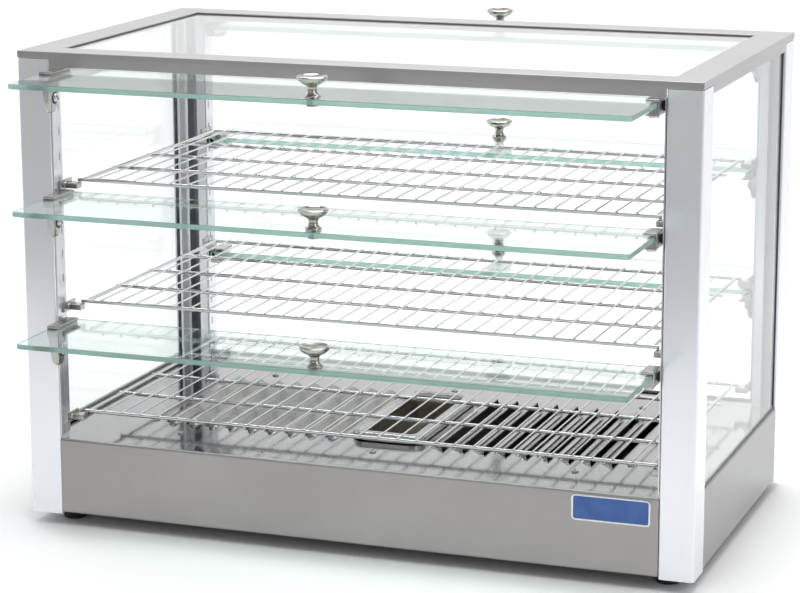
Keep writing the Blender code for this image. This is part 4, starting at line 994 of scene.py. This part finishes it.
def buildBadge():
    low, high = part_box("plain_badge")
    middle = (low + high) / 2
    halfX, halfZ, thick = (high.x - low.x) / 2, (high.z - low.z) / 2, high.y - low.y
    turn = Matrix.Translation((middle.x, high.y, middle.z)) @ Matrix.Rotation(pi / 2, 4, "X")
    shape = bmesh.new()
    rim = [(0.0, 0.0), (0.0, 0.7), (0.0004, 0.95), (0.0009, 1.0), (0.0015, 0.95), (0.0018, 0.72)]
    corner = 0.004
    rings = []
    for inset, share in rim:
        rings.append(roundedLoop(halfX - inset, halfZ - inset, corner - inset, thick * share, 6))
    addLoft(shape, rings, True, True)
    paintFaces(shape, lambda spot, normal: spot.xy.length < 0.005 and spot.z > 0.0001)
    bmesh.ops.transform(shape, matrix=turn, verts=shape.verts)
    newPiece("plainBadge", shape, ["railSteel", "badgeEnamel"], "case", ["plain_badge"], 30)
    print("badge")


def addTube(shape, path, radius, sides, materialIndex=0):
    # a round tube through points that lie at one height
    rings = []
    for index, point in enumerate(path):
        here = Vector(point)
        before, after = Vector(path[max(index - 1, 0)]), Vector(path[min(index + 1, len(path) - 1)])
        along = (after - before).normalized()
        across = Vector((along.y, -along.x, 0.0))
        up = Vector((0, 0, 1))
        rings.append([here + across * spot[0] + up * spot[1] for spot in circle(radius, 0.0, sides)])
    addLoft(shape, rings, True, True, materialIndex)


def buildHeaters():
    heater = {"radius": 0.00325, "spread": 0.060, "length": 0.150, "steps": 20, "cold": 0.010}
    terminal = [(0.0012, 0.0), (0.0014, 0.0005), (0.0014, 0.0040), (0.0024, 0.0042), (0.0026, 0.0048),
                (0.0026, 0.0110), (0.0020, 0.0115)]
    for name in ("left", "right"):
        low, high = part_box("heating_element_" + name)
        z = (low.z + high.z) / 2
        middle, bend = (low.x + high.x) / 2, heater["spread"] / 2
        start = -heater["length"] / 2
        path = [(middle - bend, start + heater["cold"], z)]
        for step in range(heater["steps"] + 1):
            angle = pi - step * pi / heater["steps"]
            path.append((middle + bend * cos(angle), -start - bend + bend * sin(angle), z))
        path.append((middle + bend, start + heater["cold"], z))
        shape = bmesh.new()
        addTube(shape, path, heater["radius"] - 0.0001, 20)
        for x in (middle - bend, middle + bend):
            turn = Matrix.Translation((x, start, z)) @ towards((0, 1, 0))
            addTurned(shape, terminal, 20, 1, turn)
        newPiece("heatingTube_" + name, shape, ["heaterSheath", "scaleWhite"], "case",
                 ["heating_element_" + name], 40)
    print("heaters")


def buildControls():
    dial = {"sides": 96, "flutes": 12, "flute": 0.045, "pointerWidth": 0.0012, "ticks": 11, "sweep": 270,
            "tickWidth": 0.0008, "tickGap": 0.0016, "longTick": 0.0036, "shortTick": 0.0022}
    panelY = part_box("rear_base_panel")[1].y
    toRear = towards((0, 1, 0))
    low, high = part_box("thermostat_knob")
    middle = (low + high) / 2
    r = (high.x - low.x) / 2
    height = high.y - panelY - 0.0008
    turn = Matrix.Translation((middle.x, panelY + 0.0008, middle.z)) @ toRear
    shape = bmesh.new()
    skirt = [(r * 0.5, 0.0), (r - 0.0006, 0.0), (r, 0.0005), (r, 0.0015), (r - 0.0004, 0.0019),
             (r - 0.0020, 0.0030), (r * 0.5, 0.0032)]
    grip = [(r * 0.90, 0.0026), (r * 0.88, 0.0045), (r * 0.845, height - 0.0030), (r * 0.83, height - 0.0012),
            (r * 0.78, height - 0.0002), (r * 0.60, height), (r * 0.30, height - 0.0004)]
    addTurned(shape, skirt, 64, 0, turn)
    rings = []
    for radius, z in grip:
        loop = []
        for k in range(dial["sides"]):
            angle = 2 * pi * k / dial["sides"]
            flute = dial["flute"] * r * max(0.0, cos(dial["flutes"] * angle)) if z < height - 0.0005 else 0.0
            loop.append(((radius - flute) * cos(angle), (radius - flute) * sin(angle), z))
        rings.append(loop)
    addLoft(shape, rings, True, True, 0, turn)
    pointer = turn @ Matrix.Rotation(radians(-45), 4, "Z")
    half, bottom, top = dial["pointerWidth"] / 2, height - 0.0006, height - 0.00005
    addBlock(shape, (-half, r * 0.30, bottom), (half, r * 0.80, top), 0.0001, 1, pointer)
    newPiece("thermostatDial", shape, ["blackPlastic", "scaleWhite"], "dial",
             ["thermostat_knob"])
    shape = bmesh.new()
    half, inside = dial["tickWidth"] / 2, r + dial["tickGap"]
    for k in range(dial["ticks"]):
        spin = Matrix.Rotation(radians(dial["sweep"] * (0.5 - k / (dial["ticks"] - 1))), 4, "Z")
        long = dial["longTick"] if k % 5 == 0 else dial["shortTick"]
        addBlock(shape, (-half, inside, 0.00002), (half, inside + long, 0.00014), 0.00003, 0,
                 Matrix.Translation((middle.x, panelY, middle.z)) @ toRear @ spin)
    newPiece("dialScale", shape, ["blackPlastic"], "case")
    low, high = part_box("indicator_lamp")
    middle, r = (low + high) / 2, (high.x - low.x) / 2
    turn = Matrix.Translation((middle.x, panelY, middle.z)) @ toRear
    out, back = high.y - panelY, low.y - panelY
    shape = bmesh.new()
    bezel = [(r * 0.4, back), (r * 0.68, back), (r * 0.72, back + 0.0006), (r * 0.72, 0.0), (r, 0.0001),
             (r, 0.0012), (r * 0.92, 0.0020), (r * 0.74, 0.0021)]
    addTurned(shape, bezel, 40, 0, turn)
    addTurned(shape, [(r * 0.60, 0.0010), (r * 0.72, 0.0022), (r * 0.66, 0.0021 + (out - 0.0021) * 0.45),
                      (r * 0.45, 0.0021 + (out - 0.0021) * 0.85), (r * 0.12, out)], 40, 1, turn)
    newPiece("indicatorLamp", shape, ["blackPlastic", "lampAmber"], "case",
             ["indicator_lamp"], 40)
    low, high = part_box("cable_gland")
    middle, r = (low + high) / 2, (high.x - low.x) / 2
    out, back = high.y - panelY, low.y - panelY
    turn = Matrix.Translation((middle.x, panelY, middle.z)) @ toRear
    shape = bmesh.new()
    bore, thread, sides = 0.0042, 0.0071, 60
    rings = [circle(bore, back, sides), circle(0.0066, back, sides), circle(thread, back + 0.0008, sides),
             circle(thread, 0.0, sides), circle(r, 0.0002, sides), circle(r, out * 0.20, sides)]
    dome = [(0.99, out * 0.24), (0.95, out * 0.60), (0.86, out * 0.80), (0.74, out * 0.95), (0.68, out)]
    for share, z in dome:
        ribbed = 0.2 < z / out < 0.9
        loop = []
        for k, (x, y, height) in enumerate(circle(r * share, z, sides)):
            rib = 0.96 if ribbed and k % 5 in (0, 1) else 1.0
            loop.append((x * rib, y * rib, height))
        rings.append(loop)
    rings += [circle(bore + 0.0004, out, sides), circle(bore, out - 0.0006, sides)]
    addLoft(shape, rings + rings[:1], False, False, 0, turn)
    bmesh.ops.remove_doubles(shape, verts=shape.verts, dist=0.00001)
    newPiece("cableGland", shape, ["blackPlastic"], "case", ["cable_gland"], 30)
    keepNode("thermostat_body", "blackPlastic")
    keepNode("power_switch_housing", "blackPlastic")
    keepNode("power_switch_rocker", "rockerRed")
    print("controls")


# surroundings

def plainMaterial(name, colour, roughness, scale):
    material = bpy.data.materials.new(name)
    material.use_nodes = True
    tree = material.node_tree
    shader = tree.nodes["Principled BSDF"]
    place = addNode(tree, "ShaderNodeTexCoord")
    noise = addNode(tree, "ShaderNodeTexNoise", Scale=scale, Detail=2.0)
    spread = addNode(tree, "ShaderNodeMapRange", To_Min=roughness - 0.03, To_Max=roughness + 0.03)
    tree.links.new(place.outputs["Object"], noise.inputs["Vector"])
    tree.links.new(noise.outputs["Fac"], spread.inputs["Value"])
    tree.links.new(spread.outputs["Result"], shader.inputs["Roughness"])
    shader.inputs["Base Color"].default_value = (*colour, 1.0)
    shader.inputs["Specular IOR Level"].default_value = 0.2
    return material


def addLight(name, place, target, across, along, power, colour=(1.0, 1.0, 1.0)):
    data = bpy.data.lights.new(name, "AREA")
    data.shape = "RECTANGLE"
    data.size, data.size_y = across, along
    data.energy = power
    data.color = colour
    light = bpy.data.objects.new(name, data)
    scene.collection.objects.link(light)
    aim = Vector(target) - Vector(place)
    light.matrix_world = Matrix.Translation(place) @ aim.to_track_quat("-Z", "Y").to_matrix().to_4x4()
    return light


def buildSurroundings():
    sweep = {"front": -1.25, "back": 2.2, "height": 3.4, "bend": 0.9, "half": 4.5, "steps": 14}
    lamps = {
        "overhead": ((0.3, 0.2, 2.3), (0.0, 0.0, 0.2), 2.6, 2.2, 50.0),
        "keyRight": ((2.6, -1.2, 1.5), (0.0, 0.0, 0.25), 1.6, 1.8, 15.0),
        "frontFill": ((-0.9, -3.0, 1.1), (0.0, 0.0, 0.25), 2.0, 1.2, 4.0),
        "leftFill": ((-2.6, 0.6, 1.3), (0.0, 0.0, 0.25), 1.6, 1.4, 12.0),
        "backWash": ((-1.6, 0.7, 2.5), (-1.3, 2.1, 0.7), 1.6, 0.8, 18.0),
    }
    profile = [(sweep["front"], 0.0), (sweep["back"] - sweep["bend"], 0.0)]
    for step in range(1, sweep["steps"] + 1):
        angle = pi / 2 * step / sweep["steps"]
        profile.append((sweep["back"] - sweep["bend"] * (1 - sin(angle)), sweep["bend"] * (1 - cos(angle))))
    profile.append((sweep["back"], sweep["height"]))
    mesh = bpy.data.meshes.new("backdrop")
    verts = [(side * sweep["half"], y, z) for y, z in profile for side in (-1, 1)]
    mesh.from_pydata(verts, [], [(2 * k, 2 * k + 1, 2 * k + 3, 2 * k + 2) for k in range(len(profile) - 1)])
    mesh.shade_smooth()
    backdrop = bpy.data.objects.new("backdrop", mesh)
    scene.collection.objects.link(backdrop)
    pale = plainMaterial("paleBackdrop", (0.90, 0.90, 0.90), 0.7, 3.0)
    shape = addNode(pale.node_tree, "ShaderNodeNewGeometry")
    addClear(pale.node_tree, shape.outputs["Backfacing"], (1.0, 1.0, 1.0))     # clear when seen from behind
    mesh.materials.append(pale)
    for name, values in lamps.items():
        addLight(name, *values)
    world = bpy.data.worlds.new("softGrey")
    scene.world = world
    world.use_nodes = True
    world.node_tree.nodes["Background"].inputs["Color"].default_value = (0.80, 0.81, 0.83, 1.0)
    world.node_tree.nodes["Background"].inputs["Strength"].default_value = 0.42
    scene.view_settings.view_transform = "Standard"
    print("surroundings")


def buildCamera():
    data = bpy.data.cameras.new("camera")
    data.lens, data.sensor_width = 121.06, 36.0
    data.clip_end = 50.0
    camera = bpy.data.objects.new("camera", data)
    scene.collection.objects.link(camera)
    turn = Matrix.Rotation(radians(19.974), 4, "Z") @ Matrix.Rotation(radians(90 - 12.622), 4, "X")
    turn = turn @ Matrix.Rotation(radians(-0.131), 4, "Z")
    camera.matrix_world = Matrix.Translation((0.91854, -2.57357, 0.83479)) @ turn
    scene.camera = camera


buildCamera()
buildFinishes()
buildPosts()
buildTopFrame()
buildSideGlass()
buildBasePanels()
buildDeck()
buildPan()
buildRails()
buildShelves()
buildDoors()
buildFeet()
buildBadge()
buildHeaters()
buildControls()
buildSurroundings()
